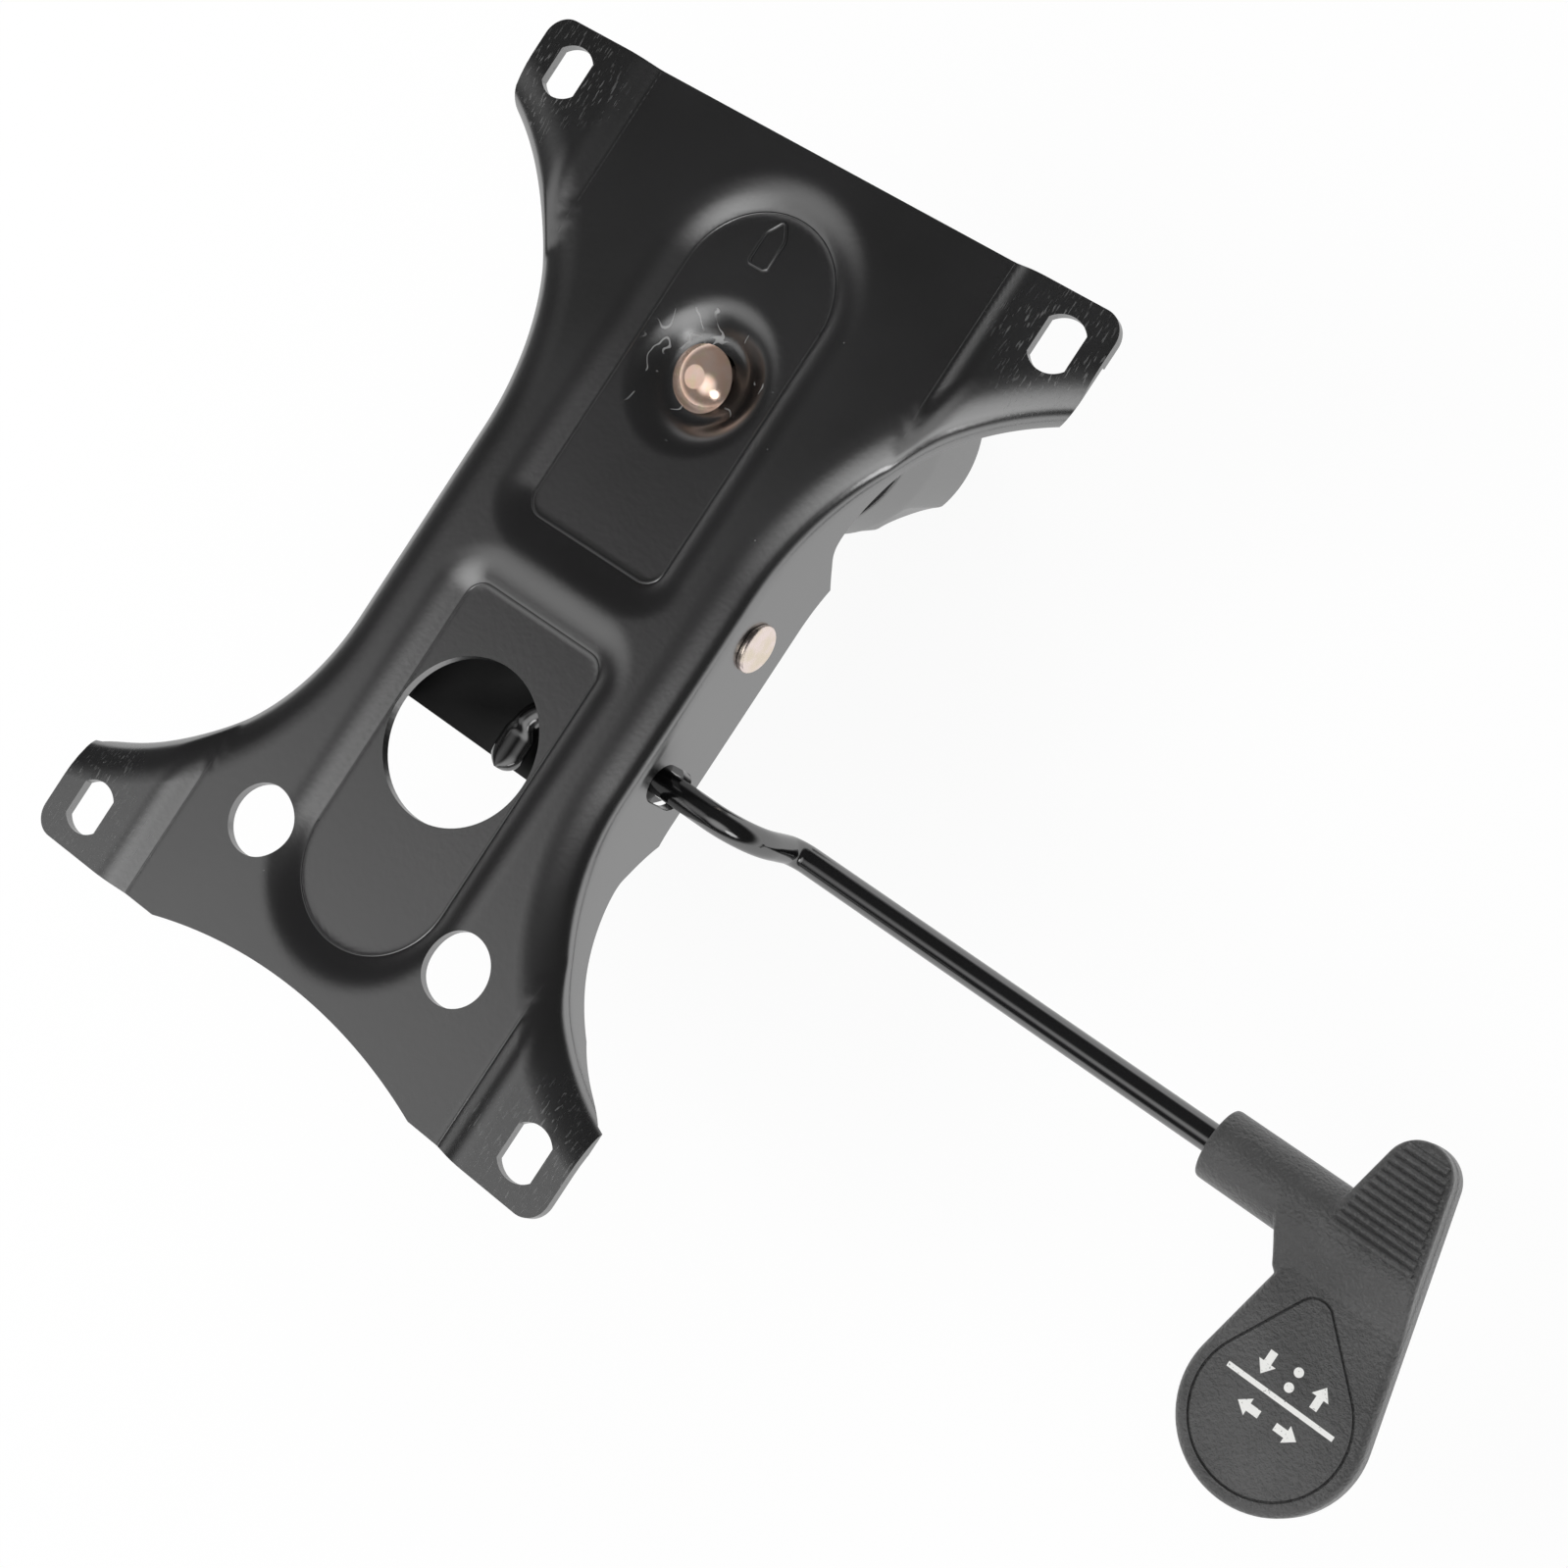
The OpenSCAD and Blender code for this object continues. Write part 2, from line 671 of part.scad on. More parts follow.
// Side view of the tray's floor: level, then bent up to the ramp
module tray_floor_side() {
    polygon([
        [tray_rear_y, floor_under], [ramp_y, floor_under], ramp_point(ramp_length, 0),
        ramp_point(ramp_length, tray_sheet), [ramp_y - tray_sheet * tan(bolt_lean / 2), floor_top],
        [tray_rear_y, floor_top]
    ]);
}

// Side view of a tray wall, which stays under the plate over the whole tilt
module tray_wall_side() {
    shoulder = plate_under - tilt_clear - tray_ear_r * tan(tilt_max);
    wall_rear = plate_under - tilt_clear - (pivot_y - tray_rear_y) * tan(tilt_max);
    translate([pivot_y, pivot_z]) circle(tray_ear_r);
    polygon([
        [tray_rear_y, floor_under], [ramp_y, floor_under], ramp_point(ramp_length, 0),
        ramp_point(ramp_length, tray_sheet + tray_front_h),
        [pivot_y + tray_ear_r, shoulder], [pivot_y - tray_ear_r, shoulder], [tray_rear_y, wall_rear]
    ]);
}

// What the chamfer takes off the tray's lower right edge, along Y from the origin
module chamfer_cut(length) {
    rotate([90, 0, 0]) translate([0, 0, -length]) linear_extrude(length) polygon([
        [tray_face - tray_chamfer - over, -over], [tray_face + over, tray_chamfer + over], [tray_face + over, -over]
    ]);
}

module base_tray() {
    color([0.11, 0.11, 0.12]) difference() {
        union() {
            side_prism(-tray_face, tray_face) tray_floor_side();
            for (side = [0, 1]) mirror([side, 0, 0]) side_prism(tray_face - tray_sheet, tray_face) tray_wall_side();
        }
        for (side = [0, 1]) mirror([side, 0, 0]) {
            translate([0, tray_rear_y - over, floor_under]) chamfer_cut(ramp_y - tray_rear_y + 2 * over);
            translate([0, ramp_y, floor_under]) rotate([bolt_lean, 0, 0]) translate([0, -over, 0])
                chamfer_cut(ramp_length + 2 * over);
        }
        translate([0, pivot_y, pivot_z]) bar_x(-tray_width, tray_width, bush_r + fit);
        translate([0, rod_y, rod_z]) bar_x(0, tray_width, lever_bush_r + gap);
        translate([0, 0, floor_under - over]) cylinder(h = tray_sheet + 2 * over, d = button_hole_d);
        at_bolt() translate([0, 0, ramp_under_w - over]) cylinder(h = tray_sheet + 2 * over, r = shank_hole_r);
    }
}

// Rubber stop on the ramp, its dome just under the plate
module front_stop() {
    dome_w = (plate_under - gap - stop_r - bolt_z - stop_ahead * sin(bolt_lean)) / cos(bolt_lean);
    color([0.16, 0.16, 0.16]) at_bolt() translate([stop_x, stop_ahead, 0]) {
        translate([0, 0, ramp_top_w]) cylinder(h = dome_w - ramp_top_w, r = stop_r);
        translate([0, 0, dome_w]) sphere(stop_r);
    }
}

module gas_lift_hub() {
    color([0.12, 0.12, 0.13]) difference() {
        cylinder(h = floor_under, d = hub_d);
        cylinder(h = floor_under, d1 = socket_mouth_d, d2 = socket_top_d);
    }
}

// Tension bolt, spring and knob

module spring_seat_washer() {
    color([0.72, 0.73, 0.74]) at_bolt() translate([0, 0, washer_w]) tube(washer_t, spring_d / 2 + washer_margin, shank_hole_r);
}

// Spring wire: rings of points along a helix, joined to one closed tube
wire_r = wire_d / 2;
wire_sides = 6;
rings_per_curl = 8;
coil_r = spring_d / 2 - wire_r;
coil_drop = spring_length - wire_d;
ring_count = round(curls * rings_per_curl) + 1;
function turn(i) = 360 * curls * i / (ring_count - 1);
function coil_point(i) = let(a = turn(i))
    [coil_r * cos(a), coil_r * sin(a), spring_top_w - wire_r - coil_drop * i / (ring_count - 1)];
function wire_point(i, k) = let(a = turn(i), b = 360 * k / wire_sides, c = coil_point(i))
    [c.x + wire_r * cos(b) * cos(a), c.y + wire_r * cos(b) * sin(a), c.z + wire_r * sin(b)];

// Least gap between the wire and its own next curls
self_gap = min([
    for (i = [0 : ring_count - 1], j = [0 : ring_count - 1])
        if (abs(turn(i) - turn(j)) > 180) norm(coil_point(i) - coil_point(j)) - wire_d
]);
echo(spring_self_gap = self_gap);

module tension_spring() {
    points = [for (i = [0 : ring_count - 1], k = [0 : wire_sides - 1]) wire_point(i, k)];
    last = (ring_count - 1) * wire_sides;
    walls = [
        for (i = [0 : ring_count - 2], k = [0 : wire_sides - 1])
            let(a = i * wire_sides + k, b = i * wire_sides + (k + 1) % wire_sides, up = wire_sides)
                each [[a, b, a + up], [b, b + up, a + up]]
    ];
    caps = [for (k = [1 : wire_sides - 2]) each [[0, k + 1, k], [last, last + k, last + k + 1]]];
    color([0.5, 0.51, 0.53]) at_bolt() polyhedron(points, concat(walls, caps));
}

// Bolt with a domed head whose underside is part of a ball
module tension_bolt() {
    color([0.83, 0.72, 0.45]) at_bolt() {
        translate([0, 0, bolt_end_w]) cylinder(h = head_rim_w - bolt_end_w, r = bolt_r);
        intersection() {
            translate([0, 0, head_w]) sphere(head_seat_r);
            translate([0, 0, head_w - head_seat_r]) cylinder(h = head_rim_w - head_w + head_seat_r, r = head_r);
        }
        intersection() {
            translate([0, 0, head_rim_w + head_dome_h - head_dome_r]) sphere(head_dome_r);
            translate([0, 0, head_rim_w]) cylinder(h = head_dome_h, r = head_r);
        }
    }
}

module bolt_ring() {
    color([0.55, 0.55, 0.56]) at_bolt() translate([0, 0, ring_w_top - ring_t]) tube(ring_t, bolt_r + ring_w, bolt_r + fit);
}

module spring_cup() {
    color([0.13, 0.13, 0.13]) at_bolt() {
        translate([0, 0, cup_under_w]) tube(cup_t, cup_r, bolt_r + gap);
        translate([0, 0, cup_floor_w]) tube(cup_h, cup_r, cup_r - cup_t);
    }
}

// Outline of the knob's lobes: a disc beyond the rim, with a round hollow at each valley
module knob_outline() {
    difference() {
        circle(knob_r + over);
        for (i = [0 : lobes - 1])
            rotate((i + 0.5) * 360 / lobes) translate([knob_valley_r + knob_hollow_r, 0]) circle(knob_hollow_r);
    }
}

// Section of the knob's outer limit, with rounded rims
module knob_rim_section() {
    square([knob_r - knob_round_r, knob_h]);
    translate([0, knob_round_r]) square([knob_r, knob_h - 2 * knob_round_r]);
    for (z = [knob_round_r, knob_h - knob_round_r]) translate([knob_r - knob_round_r, z]) circle(knob_round_r);
}

module tension_knob() {
    shell_r = knob_valley_r - knob_wall;
    color([0.07, 0.07, 0.07]) at_bolt() difference() {
        translate([0, 0, knob_bottom_w]) intersection() {
            union() {
                linear_extrude(knob_h - knob_rim_h) knob_outline();
                translate([0, 0, knob_h - knob_rim_h]) cylinder(h = knob_rim_h, r = knob_r + over);
            }
            rotate_extrude() knob_rim_section();
        }
        translate([0, 0, pocket_w]) cylinder(h = pocket_depth + over, r = pocket_r);
        translate([0, 0, knob_top_w - knob_mouth_depth]) cylinder(h = knob_mouth_depth + over, r = knob_r - knob_wall);
        translate([0, 0, knob_bottom_w - over]) tube(nut_top_w - knob_bottom_w + over, shell_r, boss_r);
        translate([0, 0, knob_bottom_w - over])
            cylinder(h = nut_bottom_w - knob_bottom_w + over, r = nut_corner_r + fit);
        translate([0, 0, nut_bottom_w - over])
            cylinder(h = nut_t + over, r = nut_corner_r + fit, $fn = 6);
        translate([0, 0, nut_top_w - over]) cylinder(h = knob_web + 2 * over, r = bolt_r + gap);
    }
}

module knob_nut() {
    color([0.72, 0.73, 0.74]) at_bolt() translate([0, 0, nut_bottom_w]) difference() {
        cylinder(h = nut_t, r = nut_corner_r, $fn = 6);
        translate([0, 0, -over]) cylinder(h = nut_t + 2 * over, r = bolt_r + fit);
    }
}

// Lever

// Spool that holds the rod and rocks in the tray's wall
module lever_bush() {
    collar_r = lever_bush_r + lever_collar;
    inner_h = tray_sheet / 2 + collar_gap;
    bore_r = rod_r + fit;
    color([0.85, 0.84, 0.8]) translate([lever_bush_x, rod_y, rod_z]) difference() {
        union() {
            intersection() {
                sphere(lever_bush_r);
                bar_x(-inner_h - gap, inner_h + gap, lever_bush_r);
            }
            for (side = [0, 1]) mirror([side, 0, 0]) bar_x(inner_h, inner_h + lever_collar_t, collar_r);
        }
        bar_x(-far, far, bore_r);
    }
}

// Bend of the rod from the X axis down to -Z, a hair thinner than the straight runs that lap over its ends
module rod_bend(angle) {
    translate([0, 0, -rod_bend_r]) rotate([90, 0, 0]) rotate([0, 0, 90 - angle])
        rotate_extrude(angle = angle) translate([rod_bend_r, 0]) circle(rod_r - bend_thin);
}

// Inner run, S bend and outer run of the rod, rolled so that the outer run comes level with the hub's axis
module rod_run() {
    outer_l = rod_outer_x - rod_bend_x;
    translate([rod_bend_x, rod_y, rod_z]) rotate([rod_roll, 0, 0]) {
        bar_x(finger_x + rod_bend_r - rod_bend_x - bend_lap, bend_lap, rod_r);
        rod_bend(rod_bend_angle);
        translate([rod_bend_r * sin(rod_bend_angle), 0, -rod_bend_r * (1 - cos(rod_bend_angle))])
            rotate([0, rod_bend_angle, 0]) bar_x(-bend_lap, rod_slope_l + bend_lap, rod_r);
        translate([outer_l, 0, -rod_fall]) {
            rotate([0, 180, 0]) rod_bend(rod_bend_angle);
            bar_x(-bend_lap, rod_end_x - rod_outer_x, rod_r);
        }
    }
}

// Inner end of the rod: a quarter bend to the rear and a flattened finger
module rod_finger() {
    tip_y = -finger_reach + finger_width / 2;
    bend_y = rod_y - rod_bend_r;
    translate([finger_x + rod_bend_r, bend_y, rod_z]) rotate([0, 0, 90])
        rotate_extrude(angle = 90) translate([rod_bend_r, 0]) circle(rod_r - bend_thin);
    translate([finger_x, 0, rod_z - finger_t / 2]) linear_extrude(finger_t) {
        translate([0, tip_y]) circle(d = finger_width);
        translate([-finger_width / 2, tip_y]) square([finger_width, bend_y + bend_lap - tip_y]);
    }
}

module lever_rod() {
    color([0.05, 0.05, 0.05]) {
        rod_run();
        rod_finger();
    }
}

// Handle

// Direction of the tangent that touches two circles on one side
function tangent_turn(a, ra, b, rb, side) =
    let(d = b - a) atan2(d.y, d.x) + side * acos((ra - rb) / norm(d));
function round_point(c, r, turn) = c + r * [cos(turn), sin(turn)];

// Outline of two circles and their common tangents, drawn in by a margin
module taper_outline(a, ra, b, rb, margin) {
    left = tangent_turn(a, ra, b, rb, 1);
    right = tangent_turn(a, ra, b, rb, -1);
    translate(a) circle(ra - margin);
    translate(b) circle(rb - margin);
    polygon([
        round_point(a, ra - margin, right), round_point(b, rb - margin, right),
        round_point(b, rb - margin, left), round_point(a, ra - margin, left)
    ]);
}

// Slab of that outline with rounded edges
module taper_slab(a, ra, b, rb, thick, edge) {
    linear_extrude(thick, center = true) taper_outline(a, ra, b, rb, edge);
    linear_extrude(thick - 2 * edge, center = true) taper_outline(a, ra, b, rb, 0);
    for (z = [-1, 1]) translate([0, 0, z * (thick / 2 - edge)]) {
        translate(a) rotate_extrude() translate([ra - edge, 0]) circle(edge);
        translate(b) rotate_extrude() translate([rb - edge, 0]) circle(edge);
        for (side = [-1, 1]) {
            turn = tangent_turn(a, ra, b, rb, side);
            from = round_point(a, ra - edge, turn);
            to = round_point(b, rb - edge, turn);
            translate(from) rotate([0, 0, atan2(to.y - from.y, to.x - from.x)]) bar_x(0, norm(to - from), edge);
        }
    }
}

// Ribs across the thumb tab, from its end towards the rod, as long as the tab's flat face
function tab_middle(y) = tab_x + (paddle_x - tab_x) * (tab_reach - y) / (tab_reach + paddle_reach);
function tab_half(y) = let(r = tab_r - handle_edge_r / 2)
    y > tab_reach
        ? sqrt(pow(r, 2) - pow(y - tab_reach, 2))
        : r + (paddle_r - tab_r) * (tab_reach - y) / (tab_reach + paddle_reach);

module tab_ribs() {
    first_y = tab_reach + tab_r - handle_edge_r - rib_r;
    for (i = [0 : ribs - 1]) {
        y = first_y - i * rib_pitch;
        translate([0, y, handle_t / 2])
            bar_x(tab_middle(y) - tab_half(y), tab_middle(y) + tab_half(y), rib_r);
    }
}

module lever_handle() {
    mouth_round = 2;
    socket_r = handle_socket_d / 2;
    color([0.06, 0.06, 0.06]) translate([0, 0, rod_outer_z]) difference() {
        union() {
            taper_slab(paddle, paddle_r, tab, tab_r, handle_t, handle_edge_r);
            tab_ribs();
            bar_x(socket_x + mouth_round, tab_x, socket_r);
            translate([socket_x, 0, 0]) rotate([0, 90, 0]) rotate_extrude() {
                square([socket_r - mouth_round, 2 * mouth_round]);
                translate([socket_r - mouth_round, mouth_round]) circle(mouth_round);
            }
            translate([tab_x, 0, 0]) sphere(socket_r);
        }
        bar_x(socket_x - over, rod_end_x + gap, rod_r + fit);
        translate([0, 0, handle_t / 2 - inlay_t]) linear_extrude(inlay_t + over)
            taper_outline(paddle, inlay_r + groove_width, inlay_tip, inlay_tip_r + groove_width, 0);
    }
}

module handle_inlay() {
    color([0.09, 0.09, 0.09]) translate([0, 0, rod_outer_z + handle_t / 2 - inlay_t]) linear_extrude(inlay_t)
        taper_outline(paddle, inlay_r, inlay_tip, inlay_tip_r, 0);
}

base_tray();
gas_lift_hub();
mirror([1, 0, 0]) pivot_bush();  // pivot_bush_left
pivot_bush();  // pivot_bush_right
mirror([1, 0, 0]) front_stop();  // front_stop_left
front_stop();  // front_stop_right
spring_seat_washer();
tension_spring();
lever_bush();
seat_plate();
pivot_pin();
pin_clip();
tension_bolt();
bolt_ring();
spring_cup();
tension_knob();
knob_nut();
lever_rod();
lever_handle();
handle_inlay();
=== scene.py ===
from math import acos, atan2, cos, degrees, hypot, pi, radians, sin, sqrt

import bpy
from mathutils import Matrix, Vector


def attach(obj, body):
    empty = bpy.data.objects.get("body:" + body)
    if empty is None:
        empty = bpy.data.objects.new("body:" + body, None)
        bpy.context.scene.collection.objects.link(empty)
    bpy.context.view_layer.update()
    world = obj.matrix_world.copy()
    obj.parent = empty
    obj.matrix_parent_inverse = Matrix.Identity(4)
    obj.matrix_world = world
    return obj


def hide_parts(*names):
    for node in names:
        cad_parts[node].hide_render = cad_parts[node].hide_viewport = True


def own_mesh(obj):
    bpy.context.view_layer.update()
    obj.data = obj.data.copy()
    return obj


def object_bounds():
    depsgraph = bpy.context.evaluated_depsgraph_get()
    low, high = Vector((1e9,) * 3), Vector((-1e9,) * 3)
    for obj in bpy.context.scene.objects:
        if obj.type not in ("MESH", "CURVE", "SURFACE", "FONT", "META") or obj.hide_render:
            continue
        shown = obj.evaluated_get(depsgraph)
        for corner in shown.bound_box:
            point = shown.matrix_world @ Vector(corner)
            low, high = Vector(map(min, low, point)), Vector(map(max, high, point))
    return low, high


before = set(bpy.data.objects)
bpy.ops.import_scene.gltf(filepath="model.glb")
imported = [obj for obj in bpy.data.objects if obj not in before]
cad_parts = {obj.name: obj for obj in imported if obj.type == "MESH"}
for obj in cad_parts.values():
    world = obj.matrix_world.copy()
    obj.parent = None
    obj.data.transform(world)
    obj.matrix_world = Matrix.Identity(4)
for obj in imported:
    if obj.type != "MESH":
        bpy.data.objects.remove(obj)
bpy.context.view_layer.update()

# Tray: a channel of 2.5 mm steel sheet whose front end is bent up to a ramp.
# It is pressed, welded to the hub and coated black, and it carries all the other pieces.
MM = 0.001


def only(piece):
    """Makes this piece the one that operators act on."""
    bpy.ops.object.select_all(action="DESELECT")
    piece.select_set(True)
    bpy.context.view_layer.objects.active = piece


def edit(piece):
    """Opens a piece in edit mode with all of it selected."""
    only(piece)
    bpy.ops.object.mode_set(mode="EDIT")
    bpy.ops.mesh.select_all(action="SELECT")


def close_edit():
    """Leaves edit mode, with the faces turned outwards."""
    bpy.ops.mesh.select_all(action="SELECT")
    bpy.ops.mesh.normals_make_consistent(inside=False)
    bpy.ops.object.mode_set(mode="OBJECT")


def apply(piece, kind, **settings):
    """Adds a modifier with these settings and applies it."""
    only(piece)
    modifier = piece.modifiers.new(kind, kind)
    for name, value in settings.items():
        setattr(modifier, name, value)
    bpy.ops.object.modifier_apply(modifier=modifier.name)


def smooth(piece, crease=35):
    """Smooth shading, with a crease where faces meet at more than this angle."""
    only(piece)
    bpy.ops.object.shade_smooth_by_angle(angle=radians(crease))
    return piece


def finer_copy(node, name, rounding):
    """Copy of a solid with its loose triangles joined to faces and its sharp edges rounded."""
    piece = bpy.data.objects.new(name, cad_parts[node].data.copy())
    bpy.context.collection.objects.link(piece)
    edit(piece)
    bpy.ops.mesh.customdata_custom_splitnormals_clear()
    bpy.ops.mesh.remove_doubles(threshold=0.002 * MM)
    bpy.ops.mesh.dissolve_limited(angle_limit=radians(0.5))
    close_edit()
    apply(piece, "BEVEL", width=rounding, segments=3, limit_method="ANGLE", angle_limit=radians(40))
    return smooth(piece)


class Link:
    """A value in a node tree. Arithmetic on it adds Math nodes."""

    def __init__(self, nodes, socket):
        self.nodes = nodes
        self.socket = socket

    def math(self, operation, first, second=0.0):
        """One Math node on two values or links."""
        return self.nodes.add("Math", {"operation": operation}, {0: first, 1: second})

    def __add__(self, other):
        return self.math("ADD", self, other)

    def __sub__(self, other):
        return self.math("SUBTRACT", self, other)

    def __rsub__(self, other):
        return self.math("SUBTRACT", other, self)

    def __mul__(self, other):
        return self.math("MULTIPLY", self, other)

    def __abs__(self):
        return self.math("ABSOLUTE", self)

    __radd__ = __add__
    __rmul__ = __mul__


class Nodes:
    """The nodes of a material or a world."""

    def __init__(self, owner):
        owner.use_nodes = True
        self.tree = owner.node_tree

    def add(self, kind, settings, sockets, output=0):
        """One node: its settings first, then the values or links of its sockets."""
        made = self.tree.nodes.new("ShaderNode" + kind)
        for name, value in settings.items():
            setattr(made, name, value)
        for name, value in sockets.items():
            self.feed(made.inputs[name], value)
        return Link(self, made.outputs[output])

    def feed(self, socket, value):
        """Sets a socket to a value, or links it."""
        if isinstance(value, Link):
            self.tree.links.new(value.socket, socket)
        else:
            socket.default_value = value

    def fade(self, value, start, end):
        """0 where the value is at start, 1 where it is at end, smooth between."""
        sockets = {"Value": value, "From Min": start, "From Max": end}
        return self.add("MapRange", {"interpolation_type": "SMOOTHSTEP"}, sockets)

    def mix(self, share, first, second):
        """The first colour, with this share of the second."""
        return self.add("Mix", {"data_type": "RGBA"}, {0: share, 6: grey(first), 7: grey(second)}, 2)


def grey(colour):
    """A colour socket's value from one number, three numbers or a link."""
    if isinstance(colour, (int, float)):
        colour = (colour, colour, colour)
    return colour if isinstance(colour, Link) else (*colour, 1)


class Finish(Nodes):
    """A piece's material, on the piece's own coordinates in metres."""

    def __init__(self, name):
        self.material = bpy.data.materials.new(name)
        super().__init__(self.material)
        self.shader = self.tree.nodes["Principled BSDF"]
        self.place = self.add("TexCoord", {}, {}, "Object")

    def surface(self, **values):
        """Feeds the shader: base_color is its Base Color socket."""
        for name, value in values.items():
            self.feed(self.shader.inputs[name.replace("_", " ").title().replace("Ior", "IOR")], value)

    def blotches(self, size, detail=2.0, stretch=(1, 1, 1), turn=(0, 0, 0)):
        """Soft blotches of about this size, from about 0.3 to 0.7, stretched along an axis if asked."""
        scale = [1 / (size * s) for s in stretch]
        where = self.add("Mapping", {}, {"Vector": self.place, "Rotation": turn, "Scale": scale})
        return self.add("TexNoise", {}, {"Vector": where, "Scale": 1.0, "Detail": detail})

    def specks(self, spacing, radius, share):
        """Small round specks, of which this share is kept."""
        sockets = {"Vector": self.place, "Scale": 1 / spacing}
        near = self.add("TexVoronoi", {}, sockets, "Distance")
        lot = self.add("SeparateColor", {}, {0: self.add("TexVoronoi", {}, sockets, "Color")})
        dot = self.fade(near, radius / spacing, 0.5 * radius / spacing)
        return dot * self.fade(lot, share, share - 0.01)

    def bump(self, height, depth):
        """Uneven surface: the height's full range stands for this depth."""
        self.feed(self.shader.inputs["Normal"], self.add("Bump", {}, {"Height": height, "Distance": depth}))


def black_coat(name, shade, rough, ior, peel_size, peel_depth):
    """Black coat: slightly clouded, with orange peel and dust. A higher ior mirrors more of the room."""
    coat = Finish(name)
    cloud = coat.blotches(45 * MM, 3)
    peel = coat.blotches(peel_size)
    dust = coat.specks(9 * MM, 0.22 * MM, 0.3)
    colour = coat.mix(coat.fade(cloud, 0.3, 0.7), 0.8 * shade, (1.2 * shade, 1.2 * shade, 1.32 * shade))
    coat.colour = coat.mix(dust * 0.6, colour, 0.16)
    coat.rough = rough + (cloud - 0.5) * 0.12 + dust * 0.2
    coat.surface(base_color=coat.colour, roughness=coat.rough, ior=ior)
    coat.bump(peel, peel_depth)
    return coat


def fit(piece, finish, body, slot, *stands_for):
    """Gives a finished piece its material, the body that it rides on and the solids that it stands for."""
    piece.data.materials.clear()
    piece.data.materials.append(finish.material)
    if stands_for:
        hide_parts(*stands_for)
    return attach(piece, body)


tray_coat = black_coat("tray_coat", 0.008, 0.42, 1.6, 1.3 * MM, 0.03 * MM)
fit(finer_copy("base_tray", "tray", 0.4 * MM), tray_coat, "base", "black_tray", "base_tray")

# Hub: a turned steel tube under the tray, with a taper bored into it for the gas lift.
# It is welded to the tray's floor and coated with it.


def rounded(outline, size, steps=4):
    """Outline with a small round at each corner that is off the axis."""
    points = []
    for i, corner in enumerate(outline):
        corner = Vector(corner)
        before = Vector(outline[i - 1]) - corner
        after = Vector(outline[(i + 1) % len(outline)]) - corner
        if corner.x == 0:
            points.append(corner)
            continue
        start = corner + before.normalized() * min(size, 0.45 * before.length)
        end = corner + after.normalized() * min(size, 0.45 * after.length)
        for k in range(steps + 1):
            t = k / steps
            points.append(start * (1 - t) ** 2 + corner * 2 * t * (1 - t) + end * t ** 2)
    return points


def turned(name, outline, place=Matrix.Identity(4), steps=96):
    """Solid spun round an axis from a closed outline of radius and height in mm, then set in its place."""
    bpy.ops.object.select_all(action="DESELECT")
    bpy.ops.mesh.primitive_circle_add(vertices=len(outline), fill_type="NOTHING")
    piece = bpy.context.object
    piece.name = name
    for vertex, (radius, height) in zip(piece.data.vertices, outline):
        vertex.co = (radius * MM, 0, height * MM)
    edit(piece)
    bpy.ops.mesh.spin(steps=steps, angle=2 * pi, center=(0, 0, 0), axis=(0, 0, 1))
    bpy.ops.mesh.select_all(action="SELECT")
    bpy.ops.mesh.remove_doubles(threshold=0.001 * MM)
    close_edit()
    piece.data.transform(place)
    return smooth(piece, 40)


HUB_R, SOCKET_MOUTH_R, SOCKET_TOP_R, HUB_TOP = 16.5, 14, 13.25, 50.5
hub_outline = [(SOCKET_MOUTH_R, 0), (HUB_R, 0), (HUB_R, HUB_TOP), (SOCKET_TOP_R, HUB_TOP)]
fit(turned("hub", rounded(hub_outline, 0.7)), tray_coat, "base", "black_tray", "gas_lift_hub")

# Bushes: nylon, moulded with collars. Two natural ones carry the pivot pin in the tray's walls,
# and a waisted black one holds the lever's rod and rocks in the right wall.
PIVOT_Y, PIVOT_Z = 35, 65
ROD_Y, ROD_Z, LEVER_BUSH_X = -3.3, 59.5, 36.25


def moulded_nylon(name, darker, lighter):
    """Nylon, clouded between two colours."""
    nylon = Finish(name)
    cloud = nylon.blotches(6 * MM, 3)
    nylon.surface(
        base_color=nylon.mix(nylon.fade(cloud, 0.3, 0.7), darker, lighter),
        roughness=0.42 + (cloud - 0.5) * 0.15,
    )
    nylon.bump(nylon.blotches(0.5 * MM), 0.01 * MM)
    return nylon


nylon = moulded_nylon("nylon", (0.72, 0.7, 0.62), (0.8, 0.79, 0.72))
black_nylon = moulded_nylon("black_nylon", 0.012, 0.022)


def across(x, y, z, side=1):
    """Place of a turned piece whose axis points to the right, or to the left for side -1."""
    return Matrix.Translation(Vector((x, y, z)) * MM) @ Matrix.Rotation(side * pi / 2, 4, "Y")


bush_outline = [(5.1, 34), (7.05, 34), (7.05, 37.5), (8.25, 37.5), (8.25, 42.2), (5.1, 42.2)]
for side, hand in ((-1, "left"), (1, "right")):
    bush = turned("bush_" + hand, rounded(bush_outline, 0.3), across(0, PIVOT_Y, PIVOT_Z, side))
    fit(bush, nylon, "base", "bush_nylon", "pivot_bush_" + hand)

spool_half = [(5.05, 0), (4.7, 1.867), (6.05, 1.867), (6.05, 3.067), (3.55, 3.067)]
spool_outline = [(r, -h) for r, h in reversed(spool_half[1:])] + spool_half
spool = turned("rod_bush", rounded(spool_outline, 0.3), across(LEVER_BUSH_X, ROD_Y, ROD_Z))
fit(spool, black_nylon, "rocker", "bush_nylon", "lever_bush")

